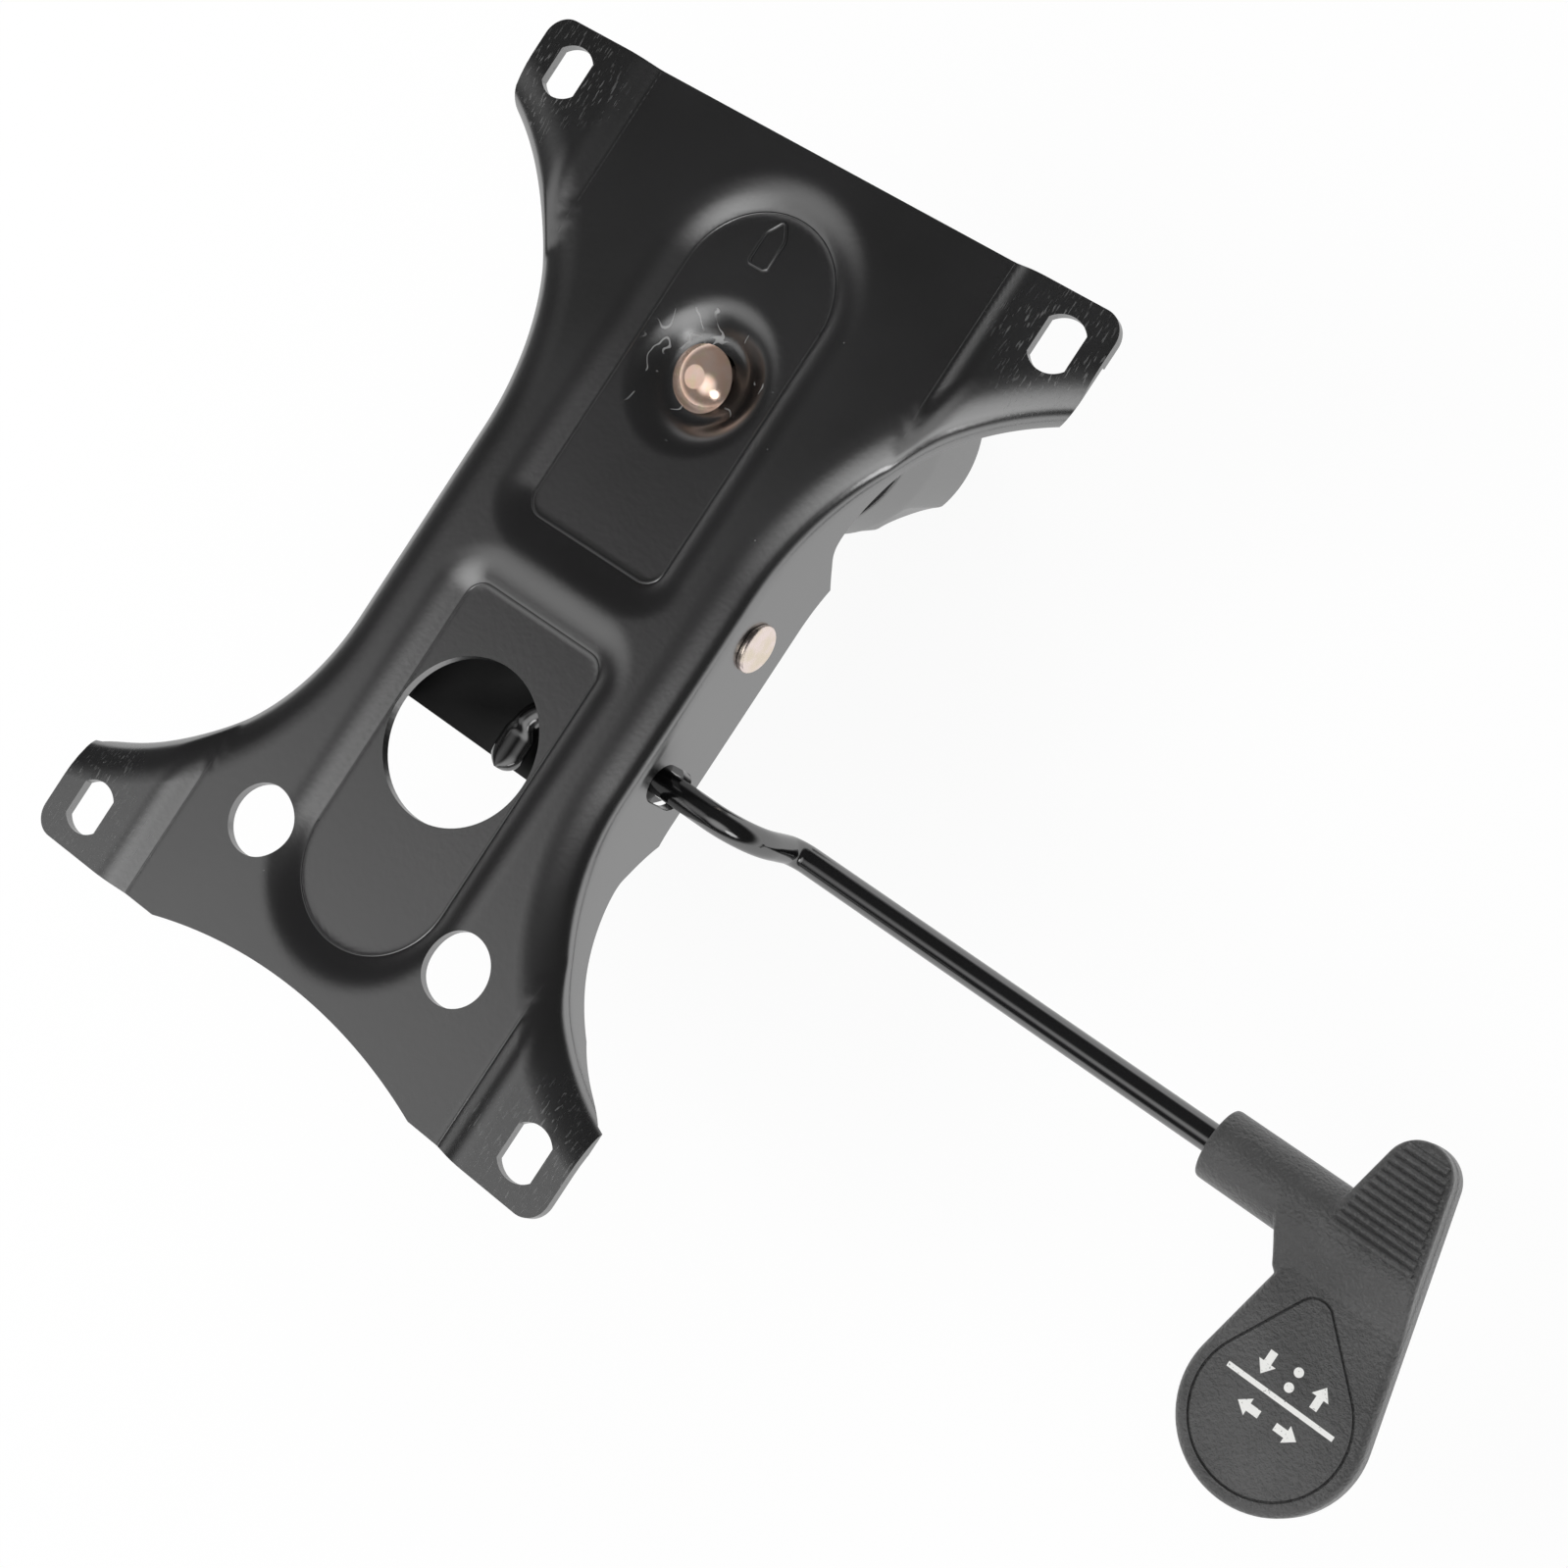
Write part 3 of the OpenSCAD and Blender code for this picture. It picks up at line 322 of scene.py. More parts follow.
# Stops: two black rubber buttons on the ramp, on which the front of the seat plate rests.
# Each is a short stem with a round top, moulded in one.
BOLT_Y, BOLT_Z, BOLT_LEAN = 81.5, 75, 15
bolt_turn = Matrix.Rotation(radians(BOLT_LEAN), 4, "X")
bolt_place = Matrix.Translation(Vector((0, BOLT_Y, BOLT_Z)) * MM) @ bolt_turn
STOP_X, STOP_AHEAD, STOP_R, STOP_FOOT, STOP_DOME = 30, 22, 4.3, -14.3, -8.07

rubber = Finish("rubber")
rubber_bloom = rubber.blotches(3 * MM, 3)
rubber.surface(base_color=rubber.mix(rubber.fade(rubber_bloom, 0.35, 0.7), 0.018, 0.035), roughness=0.75)
rubber.bump(rubber.blotches(0.35 * MM), 0.015 * MM)

dome = [(STOP_R * cos(a), STOP_DOME + STOP_R * sin(a)) for a in [i * pi / 20 for i in range(10)]]
stop_outline = [(0, STOP_FOOT), (STOP_R, STOP_FOOT), *dome, (0, STOP_DOME + STOP_R)]
for side, hand in ((-1, "left"), (1, "right")):
    place = bolt_place @ Matrix.Translation(Vector((side * STOP_X, STOP_AHEAD, 0)) * MM)
    fit(turned("stop_" + hand, stop_outline, place, 48), rubber, "base", "stop_rubber", "front_stop_" + hand)

# Spring: 5 mm round steel wire wound with closed ends, between a zinc washer under the ramp and
# a pressed cup in the knob. The tilt shortens its upper length and the knob its lower length.
WIRE_R, COIL_R, CURLS, END_CURL, CURL_STEPS = 2.5, 19.5, 6.5, 0.8, 48
SPRING_TOP, SPRING_LENGTH = -19.1, 55.5
TILT_TRAVEL, KNOB_TRAVEL = 9.1, 5.01


def metal(name, colours, rough, grain):
    """Bare or plated metal: clouded between two colours, with fine scratches and pits."""
    plating = Finish(name)
    cloud = plating.blotches(4 * MM, 3)
    fine = plating.blotches(0.5 * MM, 3)
    scratch = plating.blotches(0.3 * MM, 2, (14, 1, 1), (0.3, 0.4, 0.5))
    plating.colour = plating.mix(plating.fade(cloud, 0.35, 0.65), *colours)
    plating.surface(base_color=plating.colour, metallic=1.0, roughness=rough + (fine - 0.5) * 0.25)
    plating.bump(fine * 0.6 + scratch * 0.4, grain)
    return plating


pale_zinc = metal("pale_zinc", ((0.62, 0.62, 0.63), (0.76, 0.75, 0.73)), 0.3, 0.015 * MM)
spring_steel = metal("spring_steel", ((0.2, 0.2, 0.21), (0.33, 0.33, 0.34)), 0.34, 0.02 * MM)

washer_outline = [(5, -18.8), (23, -18.8), (23, -16.81), (5, -16.81)]
washer = turned("spring_washer", rounded(washer_outline, 0.3), bolt_place)
fit(washer, pale_zinc, "base", "pale_zinc", "spring_seat_washer")


def coil_height(turn):
    """Height of the wire's middle after this many turns from the top: the end turns lie close."""
    close = 2 * WIRE_R * 1.02
    pitch = (SPRING_LENGTH - 2 * WIRE_R - 2 * END_CURL * close) / (CURLS - 2 * END_CURL)
    open_turns = min(max(turn - END_CURL, 0), CURLS - 2 * END_CURL)
    return SPRING_TOP - WIRE_R - close * (turn - open_turns) - pitch * open_turns


def tube(name, points, radius, sides=4):
    """Round bar along a line of points in mm, as a mesh with closed ends."""
    bpy.ops.object.select_all(action="DESELECT")
    bpy.ops.curve.primitive_bezier_curve_add()
    piece = bpy.context.object
    piece.name = name
    line = piece.data
    line.splines.clear()
    spline = line.splines.new("POLY")
    spline.points.add(len(points) - 1)
    for spot, point in zip(spline.points, points):
        spot.co = (*(Vector(point) * MM), 1)
    line.dimensions = "3D"
    line.bevel_depth = radius * MM
    line.bevel_resolution = sides
    line.use_fill_caps = True
    bpy.ops.object.convert(target="MESH")
    piece = bpy.context.object
    edit(piece)
    bpy.ops.mesh.remove_doubles(threshold=0.001 * MM)
    close_edit()
    return smooth(piece, 50)


def coil(name, first, last):
    """Length of the wound wire from one turn to another."""
    count = round((last - first) * CURL_STEPS)
    turns = [first + (last - first) * i / count for i in range(count + 1)]
    spots = [(COIL_R * cos(2 * pi * t), COIL_R * sin(2 * pi * t), coil_height(t)) for t in turns]
    piece = tube(name, spots, WIRE_R)
    piece.data.transform(bolt_place)
    return piece


upper_length = SPRING_LENGTH * TILT_TRAVEL / (TILT_TRAVEL + KNOB_TRAVEL)
split_height = SPRING_TOP - upper_length
split_turn = next(i / 1000 for i in range(int(1000 * CURLS)) if coil_height(i / 1000) <= split_height)
for name, first, last, body, joint, start, travel, length in (
    ("spring_upper", 0, split_turn, "base", "bolt_slide", SPRING_TOP, TILT_TRAVEL, upper_length),
    ("spring_lower", split_turn, CURLS, "bolt", "tension_travel", split_height, KNOB_TRAVEL,
     SPRING_LENGTH - upper_length),
):
    wire = fit(coil(name, first, last), spring_steel, body, "spring_steel", "tension_spring")
    anchor = bolt_place @ Vector((0, 0, start * MM))
    1 - travel / length
    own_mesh(wire)

cup_outline = [(4.3, -76.9), (24.3, -76.9), (24.3, -63.9), (22.3, -63.9), (22.3, -74.9), (4.3, -74.9)]
fit(turned("cup", rounded(cup_outline, 0.8), bolt_place), tray_coat, "travel", "black_tray", "spring_cup")

# Seat plate: 2.5 mm sheet, blanked and pressed in one stroke. Its side walls are drawn down round the
# waist and swept out to four raised ears, and two ovals and the bolt's dish are pressed into its face.
PLATE_TOP, SHEET, WALL_FOOT = 80, 2.5, 50.7
CROWN_R, CROWN_ANGLE, ROLL_R = 22, 22, 5
PLATE_HALF, PLATE_FRONT, PLATE_REAR, EAR_CORNER_R = 88, 139.5, -99.5, 6
WAIST_HALF, WAIST_FRONT, WAIST_REAR = 45, 44, -11
FRONT_SWEEP_R, REAR_SWEEP_R, SWEEP = 80, 66, 80
EAR_CREASE, EAR_SLOPE, EAR_RISE = 55, 6.5, 3
EDGE_CREASE, EDGE_SLOPE = 52, 14
OVAL_SLOPE, OVAL_DEPTH, OVAL_CORNER_R = 6, 2.5, 5
FRONT_OVAL, REAR_OVAL = (21, 124.5, 33), (21.5, -78, 13)
DISH_R, DISH_SLOPE, DISH_DEPTH = 11, 6, 4.5
EAR_SOFT, EDGE_SOFT, OVAL_SOFT, DISH_SOFT = (0.4, 3.2), (5, 5), (0.45, 4), (0.8, 3.5)
SWEEP_STEPS, WAIST_STEPS, FLAT_STEPS, BEND_STEPS, WALL_STEPS = 150, 44, 46, 13, 3
BEYOND = 3


def soft_corner(distance, soft):
    """0 below the corner and the distance above it, with the corner rounded."""
    if abs(distance) >= soft:
        return max(distance, 0)
    return (distance + soft) ** 2 / (4 * soft)


def slope(distance, width, low_soft, high_soft):
    """Rise from 0 to 1 over a slope of this width, with both creases rounded."""
    return (soft_corner(distance, low_soft) - soft_corner(distance - width, high_soft)) / width


def oval_edge(x, y, half, y_round, y_flat):
    """Distance outside an oval's floor, which is round at one end and straight at the other."""
    middle = (y_round + y_flat) / 2
    at_round = (y - middle) * (y_round - middle) > 0
    corner = half if at_round else OVAL_CORNER_R
    across_x = abs(x) - half + corner
    along_y = abs(y - middle) - abs(y_round - middle) + corner
    return min(max(across_x, along_y), 0) + hypot(max(across_x, 0), max(along_y, 0)) - corner


def plate_height(x, y, ease=0.0):
    """Height of the plate's top face. The ears' rise eases out over the rolled edge."""
    rise = slope(abs(x) - EAR_CREASE, EAR_SLOPE, *EAR_SOFT)
    eased_rise = slope(abs(x) - EDGE_CREASE, EDGE_SLOPE, *EDGE_SOFT)
    z = PLATE_TOP + EAR_RISE * (rise + (eased_rise - rise) * ease)
    for oval in (FRONT_OVAL, REAR_OVAL):
        z -= OVAL_DEPTH * (1 - slope(oval_edge(x, y, *oval), OVAL_SLOPE, *OVAL_SOFT))
    return z - DISH_DEPTH * (1 - slope(hypot(x, y - BOLT_Y) - DISH_R, DISH_SLOPE, *DISH_SOFT))


def wall_feet():
    """Points of the right wall's outer face from rear to front, each with the way into the plate."""
    step = SWEEP / SWEEP_STEPS
    for i in range(SWEEP_STEPS, 0, -1):
        turn = radians(i * step)
        way = Vector((-cos(turn), -sin(turn)))
        yield Vector((WAIST_HALF + REAR_SWEEP_R, WAIST_REAR)) + way * REAR_SWEEP_R, way
    for i in range(WAIST_STEPS + 1):
        y = WAIST_REAR + (WAIST_FRONT - WAIST_REAR) * i / WAIST_STEPS
        yield Vector((WAIST_HALF, y)), Vector((-1, 0))
    for i in range(1, SWEEP_STEPS + 1):
        turn = radians(i * step)
        way = Vector((-cos(turn), sin(turn)))
        yield Vector((WAIST_HALF + FRONT_SWEEP_R, WAIST_FRONT)) + way * FRONT_SWEEP_R, way


crown_turn = radians(CROWN_ANGLE)
roll_reach = CROWN_R * sin(crown_turn) + ROLL_R * (1 - sin(crown_turn))
roll_fall = CROWN_R * (1 - cos(crown_turn)) + ROLL_R * cos(crown_turn)


def roll(turn):
    """The way in from the wall's face and the fall below the plate, at this turn of the rolled edge."""
    if turn < crown_turn:
        return roll_reach - CROWN_R * sin(turn), CROWN_R * (1 - cos(turn))
    return ROLL_R * (1 - sin(turn)), roll_fall - ROLL_R * cos(turn)


def sheet_row(foot, way):
    """One row of the sheet's outer face: over the flat from the middle, round the roll, down the wall."""
    reach = foot.x / -way.x
    if way.y > 0:
        reach = min(reach, (PLATE_FRONT + BEYOND - foot.y) / way.y)
    if way.y < 0:
        reach = min(reach, (PLATE_REAR - BEYOND - foot.y) / way.y)
    for j in range(FLAT_STEPS + 1):
        spot = foot + way * (reach + (roll_reach - reach) * j / FLAT_STEPS)
        yield spot.x, spot.y, plate_height(spot.x, spot.y)
    for j in range(1, BEND_STEPS + 1):
        inside, fall = roll(pi / 2 * j / BEND_STEPS)
        spot = foot + way * inside
        yield spot.x, spot.y, plate_height(spot.x, spot.y, j / BEND_STEPS) - fall
    wall_top = plate_height(foot.x, foot.y, 1) - roll_fall
    for j in range(1, WALL_STEPS + 1):
        yield foot.x, foot.y, wall_top + (WALL_FOOT - wall_top) * j / WALL_STEPS


def prism(name, outline, depth):
    """Solid of a flat outline of points in mm, drawn out along a depth."""
    bpy.ops.object.select_all(action="DESELECT")
    bpy.ops.mesh.primitive_circle_add(vertices=len(outline), fill_type="NGON")
    piece = bpy.context.object
    piece.name = name
    for vertex, point in zip(piece.data.vertices, outline):
        vertex.co = Vector(point) * MM
    edit(piece)
    bpy.ops.mesh.extrude_region_move(TRANSFORM_OT_translate={"value": Vector(depth) * MM})
    close_edit()
    return piece


def arc(x, y, radius, start, end, steps=16):
    """Points of an arc, angles in degrees."""
    turns = [radians(start + (end - start) * i / steps) for i in range(steps + 1)]
    return [(x + radius * cos(t), y + radius * sin(t)) for t in turns]


def cut(piece, cutters, operation="DIFFERENCE"):
    """Cuts a piece with several solids that stand clear of each other."""
    only(cutters[0])
    for cutter in cutters:
        cutter.select_set(True)
    bpy.ops.object.join()
    tool = bpy.context.object
    apply(piece, "BOOLEAN", operation=operation, object=tool, solver="EXACT")
    bpy.data.objects.remove(tool)


def upright(outline, low, high):
    """Solid of an outline in X and Y, from one height to another."""
    return prism("cutter", [(x, y, low) for x, y in outline], (0, 0, high - low))


def sideways(outline, left, right):
    """Solid of an outline in Y and Z, from one X to another."""
    return prism("cutter", [(left, y, z) for y, z in outline], (right - left, 0, 0))


sheet_rows = [list(sheet_row(*foot)) for foot in wall_feet()]
bpy.ops.object.select_all(action="DESELECT")
bpy.ops.mesh.primitive_grid_add(x_subdivisions=len(sheet_rows[0]) - 1, y_subdivisions=len(sheet_rows) - 1)
plate = bpy.context.object
plate.name = "plate"
sheet_points = [Vector(point) * MM for row in sheet_rows for point in row]
for vertex, point in zip(plate.data.vertices, sheet_points):
    vertex.co = point
edit(plate)
if plate.data.polygons[0].normal.z < 0:
    bpy.ops.mesh.flip_normals()
bpy.ops.object.mode_set(mode="OBJECT")
apply(plate, "MIRROR", merge_threshold=0.01 * MM)
apply(plate, "SOLIDIFY", thickness=SHEET * MM, offset=-1, use_even_offset=True)

ARCH_R, ARCH_DEPTH, ARCH_TURN = 139.5, 7.8, 18.894624
corner = PLATE_HALF - EAR_CORNER_R
blank = (
    arc(corner, PLATE_FRONT - EAR_CORNER_R, EAR_CORNER_R, 0, 90)
    + arc(-corner, PLATE_FRONT - EAR_CORNER_R, EAR_CORNER_R, 90, 180)
    + arc(-corner, PLATE_REAR + EAR_CORNER_R, EAR_CORNER_R, 180, 270)
    + arc(0, PLATE_REAR + ARCH_DEPTH - ARCH_R, ARCH_R, 90 + ARCH_TURN, 90 - ARCH_TURN, 40)
    + arc(corner, PLATE_REAR + EAR_CORNER_R, EAR_CORNER_R, 270, 360)
)
cut(plate, [upright(blank, 0, 120)], "INTERSECT")

PLATE_MIDDLE, SLOT_X, SLOT_Y, SLOT_R, SLOT_TURN = 20, 76, 107.5, 7, 40.8
BIG_HOLE_X, BIG_HOLE_Y, BIG_HOLE_R = -0.3, -21.6, 20.9
SMALL_HOLE_X, SMALL_HOLE_Y, SMALL_HOLE_R = 33.85, -64.7, 9.15
BOLT_HOLE_R, BOLT_HOLE_FRONT, BOLT_HOLE_REAR = 6.25, 83.0, 80.2
bolt_hole = arc(0, BOLT_HOLE_FRONT, BOLT_HOLE_R, 0, 180) + arc(0, BOLT_HOLE_REAR, BOLT_HOLE_R, 180, 360)
holes = [
    upright(arc(BIG_HOLE_X, BIG_HOLE_Y, BIG_HOLE_R, 0, 356, 90), 70, 95),
    upright(arc(SMALL_HOLE_X, SMALL_HOLE_Y, SMALL_HOLE_R, 0, 354, 60), 72, 95),
    upright(arc(-SMALL_HOLE_X, SMALL_HOLE_Y, SMALL_HOLE_R, 0, 354, 60), 72, 95),
    upright(bolt_hole, 60, 95),
]
for x in (-SLOT_X, SLOT_X):
    for y in (PLATE_MIDDLE - SLOT_Y, PLATE_MIDDLE + SLOT_Y):
        front_end = arc(x, y, SLOT_R, SLOT_TURN, 180 - SLOT_TURN)
        rear_end = arc(x, y, SLOT_R, 180 + SLOT_TURN, 360 - SLOT_TURN)
        holes.append(upright(front_end + rear_end, 72, 95))
cut(plate, holes)


def curve_through(points, steps=6):
    """Smooth line through a few points."""
    line = []
    for i in range(len(points) - 1):
        a, b, c, d = (Vector(points[min(max(i + k, 0), len(points) - 1)]) for k in (-1, 0, 1, 2))
        for k in range(steps):
            t = k / steps
            bent = (2 * a - 5 * b + 4 * c - d) * t ** 2 + (3 * b - a - 3 * c + d) * t ** 3
            line.append(b + (c - a) * t / 2 + bent / 2)
    return [tuple(spot) for spot in line] + [points[-1]]


FRONT_EDGE = [(54, 47), (60, 56.9), (64, 62.8), (69.8, 66.6), (79, 70.9), (86, 74), (93.5, 75.7)]
FRONT_EDGE += [(104, 76.2), (114, 75.6)]
REAR_EDGE = [(-13, 46.5), (-17, 50.9), (-25, 57.9), (-30, 61.8), (-40.5, 65.9), (-50.7, 69.1), (-61, 71.4)]
EAR_EDGE = [(-61, 71.4), (-68.3, 76.6), (-73.2, 79.8), (-110, 79.8)]
FLANGE_END = [(84, 60), (84, 75.2), (88.3, 82), (96, 82), (96, 60)]
FLANGE_Y, FLANGE_RUN = 104, 24
WALL_SIDES, EAR_SIDES = ((34, 140), (-140, -34)), ((62, 140), (-140, -62))
front_trim = curve_through(FRONT_EDGE) + [(180, 75.6), (180, 30), (54, 30)]
rear_trim = curve_through(REAR_EDGE) + [(-110, 71.4), (-110, 30), (-13, 30)]
ear_trim = EAR_EDGE + [(-110, 30), (-61, 30)]
cut(plate, [sideways(trim, *side) for trim in (front_trim, rear_trim) for side in WALL_SIDES])
cut(plate, [sideways(ear_trim, *side) for side in EAR_SIDES])
flange_ends = []
for side in (-1, 1):
    outline = [(side * x, FLANGE_Y, z) for x, z in FLANGE_END]
    flange_ends.append(prism("cutter", outline, (0, FLANGE_RUN, 0)))
cut(plate, flange_ends)

PIN_HOLE_R, LEVER_SLOT_R, LEVER_SLOT_TOP, LEVER_SLOT_LOW = 5.05, 5.2, 66.3, 58.2
pin_hole = arc(PIVOT_Y, PIVOT_Z, PIN_HOLE_R, 0, 352.5, 47)
lever_slot = arc(ROD_Y, LEVER_SLOT_TOP, LEVER_SLOT_R, 0, 180)
lever_slot += arc(ROD_Y, LEVER_SLOT_LOW, LEVER_SLOT_R, 180, 360)
cut(plate, [sideways(pin_hole, -60, 60), sideways(lever_slot, 37, 60)])
smooth(plate, 30)

plate_coat = black_coat("plate_coat", 0.004, 0.24, 3.1, 1.3 * MM, 0.015 * MM)
plate_x = plate_coat.add("SeparateXYZ", {}, {0: plate_coat.place})
from_ear_x = abs(abs(plate_x) - SLOT_X * MM)
plate_y = plate_coat.add("SeparateXYZ", {}, {0: plate_coat.place}, 1)
from_ear_y = abs(abs(plate_y - PLATE_MIDDLE * MM) - SLOT_Y * MM)
ear_near = plate_coat.fade(from_ear_x + from_ear_y, 26 * MM, 9 * MM)
rub = plate_coat.blotches(0.5 * MM, 4, (1, 7, 1), (0, 0, 0.6))
scuffs = ear_near * plate_coat.fade(rub, 0.58, 0.66)
bolt_y = plate_y - BOLT_Y * MM
from_bolt = plate_y.math("SQRT", plate_x * plate_x + bolt_y * bolt_y)
crack_line = plate_coat.fade(abs(plate_coat.blotches(13 * MM, 2) - 0.5), 0.007, 0.003)
crack_patch = plate_coat.fade(plate_coat.blotches(8 * MM, 1), 0.55, 0.59)
cracks = crack_line * crack_patch * plate_coat.fade(from_bolt, 21 * MM, 16 * MM)
scuffed = plate_coat.mix(scuffs * 0.7, plate_coat.colour, 0.11)
plate_coat.surface(
    base_color=plate_coat.mix(cracks * 0.8, scuffed, 0.35),
    roughness=plate_coat.rough + scuffs * 0.25 + cracks * 0.2,
)
fit(plate, plate_coat, "seat", "black_plate", "seat_plate")

# Front mark: the outline of an arrow that the press leaves standing on the front oval's floor.
# It shows which end of the plate faces forward, and is coated with the plate.
MARK_Z, MARK_R = 77.5, 0.5
mark_line = [(-5.6, 110), (-1.4, 110), (-0.6, 110.8), (-0.6, 118), (-1, 119), (-2.8, 121.8), (-3.5, 122.2)]
mark_line += [(-7 - x, y) for x, y in reversed(mark_line[:-1])]
mark = tube("front_mark", [(x, y, MARK_Z) for x, y in mark_line + mark_line[:2]], MARK_R)
fit(mark, plate_coat, "seat", "black_plate")

# Press lines: the fine beads that the punch's edges leave round the ovals' floors and along
# the ears' creases. They are part of the sheet and coated with it.
LINE_R, LINE_SINK, LINE_STEPS, LINE_MARGIN = 0.4, 0.14, 40, 0.3
FRONT_LINE_END, REAR_LINE_END = 92, -55


def oval_line(half, y_round, y_flat):
    """Outline of an oval's floor, drawn for a round front end and turned about for a round rear end."""
    way = 1 if y_round > y_flat else -1
    corner_x, corner_y = half - OVAL_CORNER_R, way * y_flat + OVAL_CORNER_R
    line = arc(0, way * y_round - half, half, 0, 180, 48)
    line += arc(-corner_x, corner_y, OVAL_CORNER_R, 180, 270)
    line += arc(corner_x, corner_y, OVAL_CORNER_R, 270, 360)
    return [(way * x, way * y) for x, y in line]


def crease_height(x, y, middle, radius):
    """Height of the crease's line where it runs out over the crown of a swept edge."""
    inside = hypot(middle.x - abs(x), y - middle.y) - radius
    lean = max((roll_reach - inside) / CROWN_R, 0)
    return PLATE_TOP - CROWN_R * (1 - sqrt(1 - lean * lean))


press_lines = []
for oval in (oval_line(*FRONT_OVAL), oval_line(*REAR_OVAL)):
    press_lines.append([(x, y, MARK_Z - LINE_SINK) for x, y in oval + oval[:2]])
front_middle = Vector((WAIST_HALF + FRONT_SWEEP_R, WAIST_FRONT))
rear_middle = Vector((WAIST_HALF + REAR_SWEEP_R, WAIST_REAR))
for middle, radius, start, end in (
    (front_middle, FRONT_SWEEP_R, PLATE_FRONT - LINE_MARGIN, FRONT_LINE_END),
    (rear_middle, REAR_SWEEP_R, PLATE_REAR + LINE_MARGIN, REAR_LINE_END),
):
    for x in (-EAR_CREASE, EAR_CREASE):
        spots = [start + (end - start) * i / LINE_STEPS for i in range(LINE_STEPS + 1)]
        press_lines.append([(x, y, crease_height(x, y, middle, radius) - LINE_SINK) for y in spots])
for i, line in enumerate(press_lines):
    fit(tube(f"press_line_{i}", line, LINE_R), plate_coat, "seat", "black_plate")

# Pivot pin: a zinc plated steel pin through the walls of plate and tray, with a flat head on the right.
# A spring clip in a groove holds its left end.
CLIP_SHIFT = -1
pin_outline = [
    (0, -48.2), (5, -48.2), (5, -46.75), (4, -46.75), (4, -45.25), (5, -45.25), (5, 45.02), (6.3, 45.02),
    (6.3, 46.1), (5.6, 46.65), (4.6, 46.5), (0, 46.6),
]
pin_zinc = metal("pin_zinc", ((0.78, 0.68, 0.56), (0.86, 0.74, 0.7)), 0.3, 0.03 * MM)
pin = turned("pin", rounded(pin_outline, 0.35), across(0, PIVOT_Y, PIVOT_Z))
fit(pin, pin_zinc, "seat", "pale_zinc", "pivot_pin")
clip = finer_copy("pin_clip", "clip", 0.15 * MM)
clip.data.transform(Matrix.Translation((CLIP_SHIFT * MM, 0, 0)))
fit(clip, spring_steel, "seat", "spring_steel", "pin_clip")

# Tension bolt: a carriage bolt in yellow zinc. Its domed head sits in the dish, its round underside
# rolls on the dish's hole, and a ring on the end of its thread keeps the knob on.
HEAD_R, SHANK_R, THREAD_R, BALL_R, BALL_W = 8.25, 4, 3.4, 9, 4.944
RIM_W, DOME_R, DOME_W, BOLT_END = 1.35, 11.05, -6.0, -89.2
THREAD_TOP, PITCH = -62, 1.25

thread = []
for i in range(int((THREAD_TOP - BOLT_END - 1) / PITCH)):
    low = BOLT_END + 1 + i * PITCH
    thread += [(THREAD_R, low), (SHANK_R, low + 0.45 * PITCH), (SHANK_R, low + 0.55 * PITCH)]
ball = [(r, BALL_W - sqrt(BALL_R ** 2 - r ** 2)) for r in (4, 5, 6, 7, 7.7)]
dome = [(r, DOME_W + sqrt(DOME_R ** 2 - r ** 2)) for r in (8.1, 7.6, 7, 6.2, 5.4, 4.6, 3.8, 3.1, 2.7)]
bolt_outline = [(0, BOLT_END), (THREAD_R - 0.4, BOLT_END), *thread, (SHANK_R, THREAD_TOP), *ball]
bolt_outline += [(HEAD_R, RIM_W - 0.25), (HEAD_R, RIM_W), *dome, (2.3, 4.68), (0, 4.72)]

yellow_zinc = metal("yellow_zinc", ((0.96, 0.66, 0.52), (0.97, 0.74, 0.63)), 0.15, 0.003 * MM)
tint = yellow_zinc.fade(yellow_zinc.blotches(2.6 * MM, 2), 0.52, 0.68)
tinted = yellow_zinc.mix(tint * 0.35, yellow_zinc.colour, (0.8, 0.74, 0.42))
yellow_zinc.surface(base_color=tinted, metallic=0.8)
fit(turned("bolt", bolt_outline, bolt_place), yellow_zinc, "bolt", "yellow_zinc", "tension_bolt")
ring_outline = [(4.05, -87.2), (7, -87.2), (7, -86.01), (4.05, -86.01)]
end_ring = turned("end_ring", rounded(ring_outline, 0.25), bolt_place, 64)
fit(end_ring, spring_steel, "bolt", "spring_steel", "bolt_ring")

# Knob: black plastic, moulded hollow with a round thin rim over four lobes and a boss for the nut.
# A hex nut in the boss runs on the bolt's thread, and the cup of the spring sits in the knob's mouth.


def plastic(name, shade, grain, depth, rough, ior):
    """Black moulded plastic with a sparked grain of this size."""
    mould = Finish(name)
    cloud = mould.blotches(20 * MM, 3)
    sockets = {"Vector": mould.place, "Scale": 1 / grain}
    leather = mould.add("TexVoronoi", {"feature": "F2"}, sockets, "Distance")
    fine = mould.blotches(0.6 * grain, 3)
    colour = mould.mix(mould.fade(cloud, 0.3, 0.7), 0.85 * shade, 1.2 * shade)
    mould.surface(base_color=colour, roughness=rough + (fine - 0.5) * 0.2, ior=ior)
    mould.bump(leather * 0.4 + fine, depth)
    return mould


KNOB_R, KNOB_TOP, KNOB_BOTTOM, MOUTH_R, MOUTH_FLOOR = 32, -50.2, -89.2, 30, -63.2
CUP_ROOM_R, CUP_FLOOR, WEB_LOW, BORE_R, NUT_ROOM_R = 24.6, -77.2, -79.2, 4.3, 7.56
BOSS_R, SHELL_R = 12.5, 25.5
LOBES, HOLLOW_ROUND_R, HOLLOW_MIDDLE, LOBE_TOP, LOBE_FULL = 4, 24, 51.5, -65, -72
SHOULDER, TAPER, LOBE_DEPTH, LOBE_SOFT, SIDE_STEPS = -64, 3, 0.6, 0.8, 26


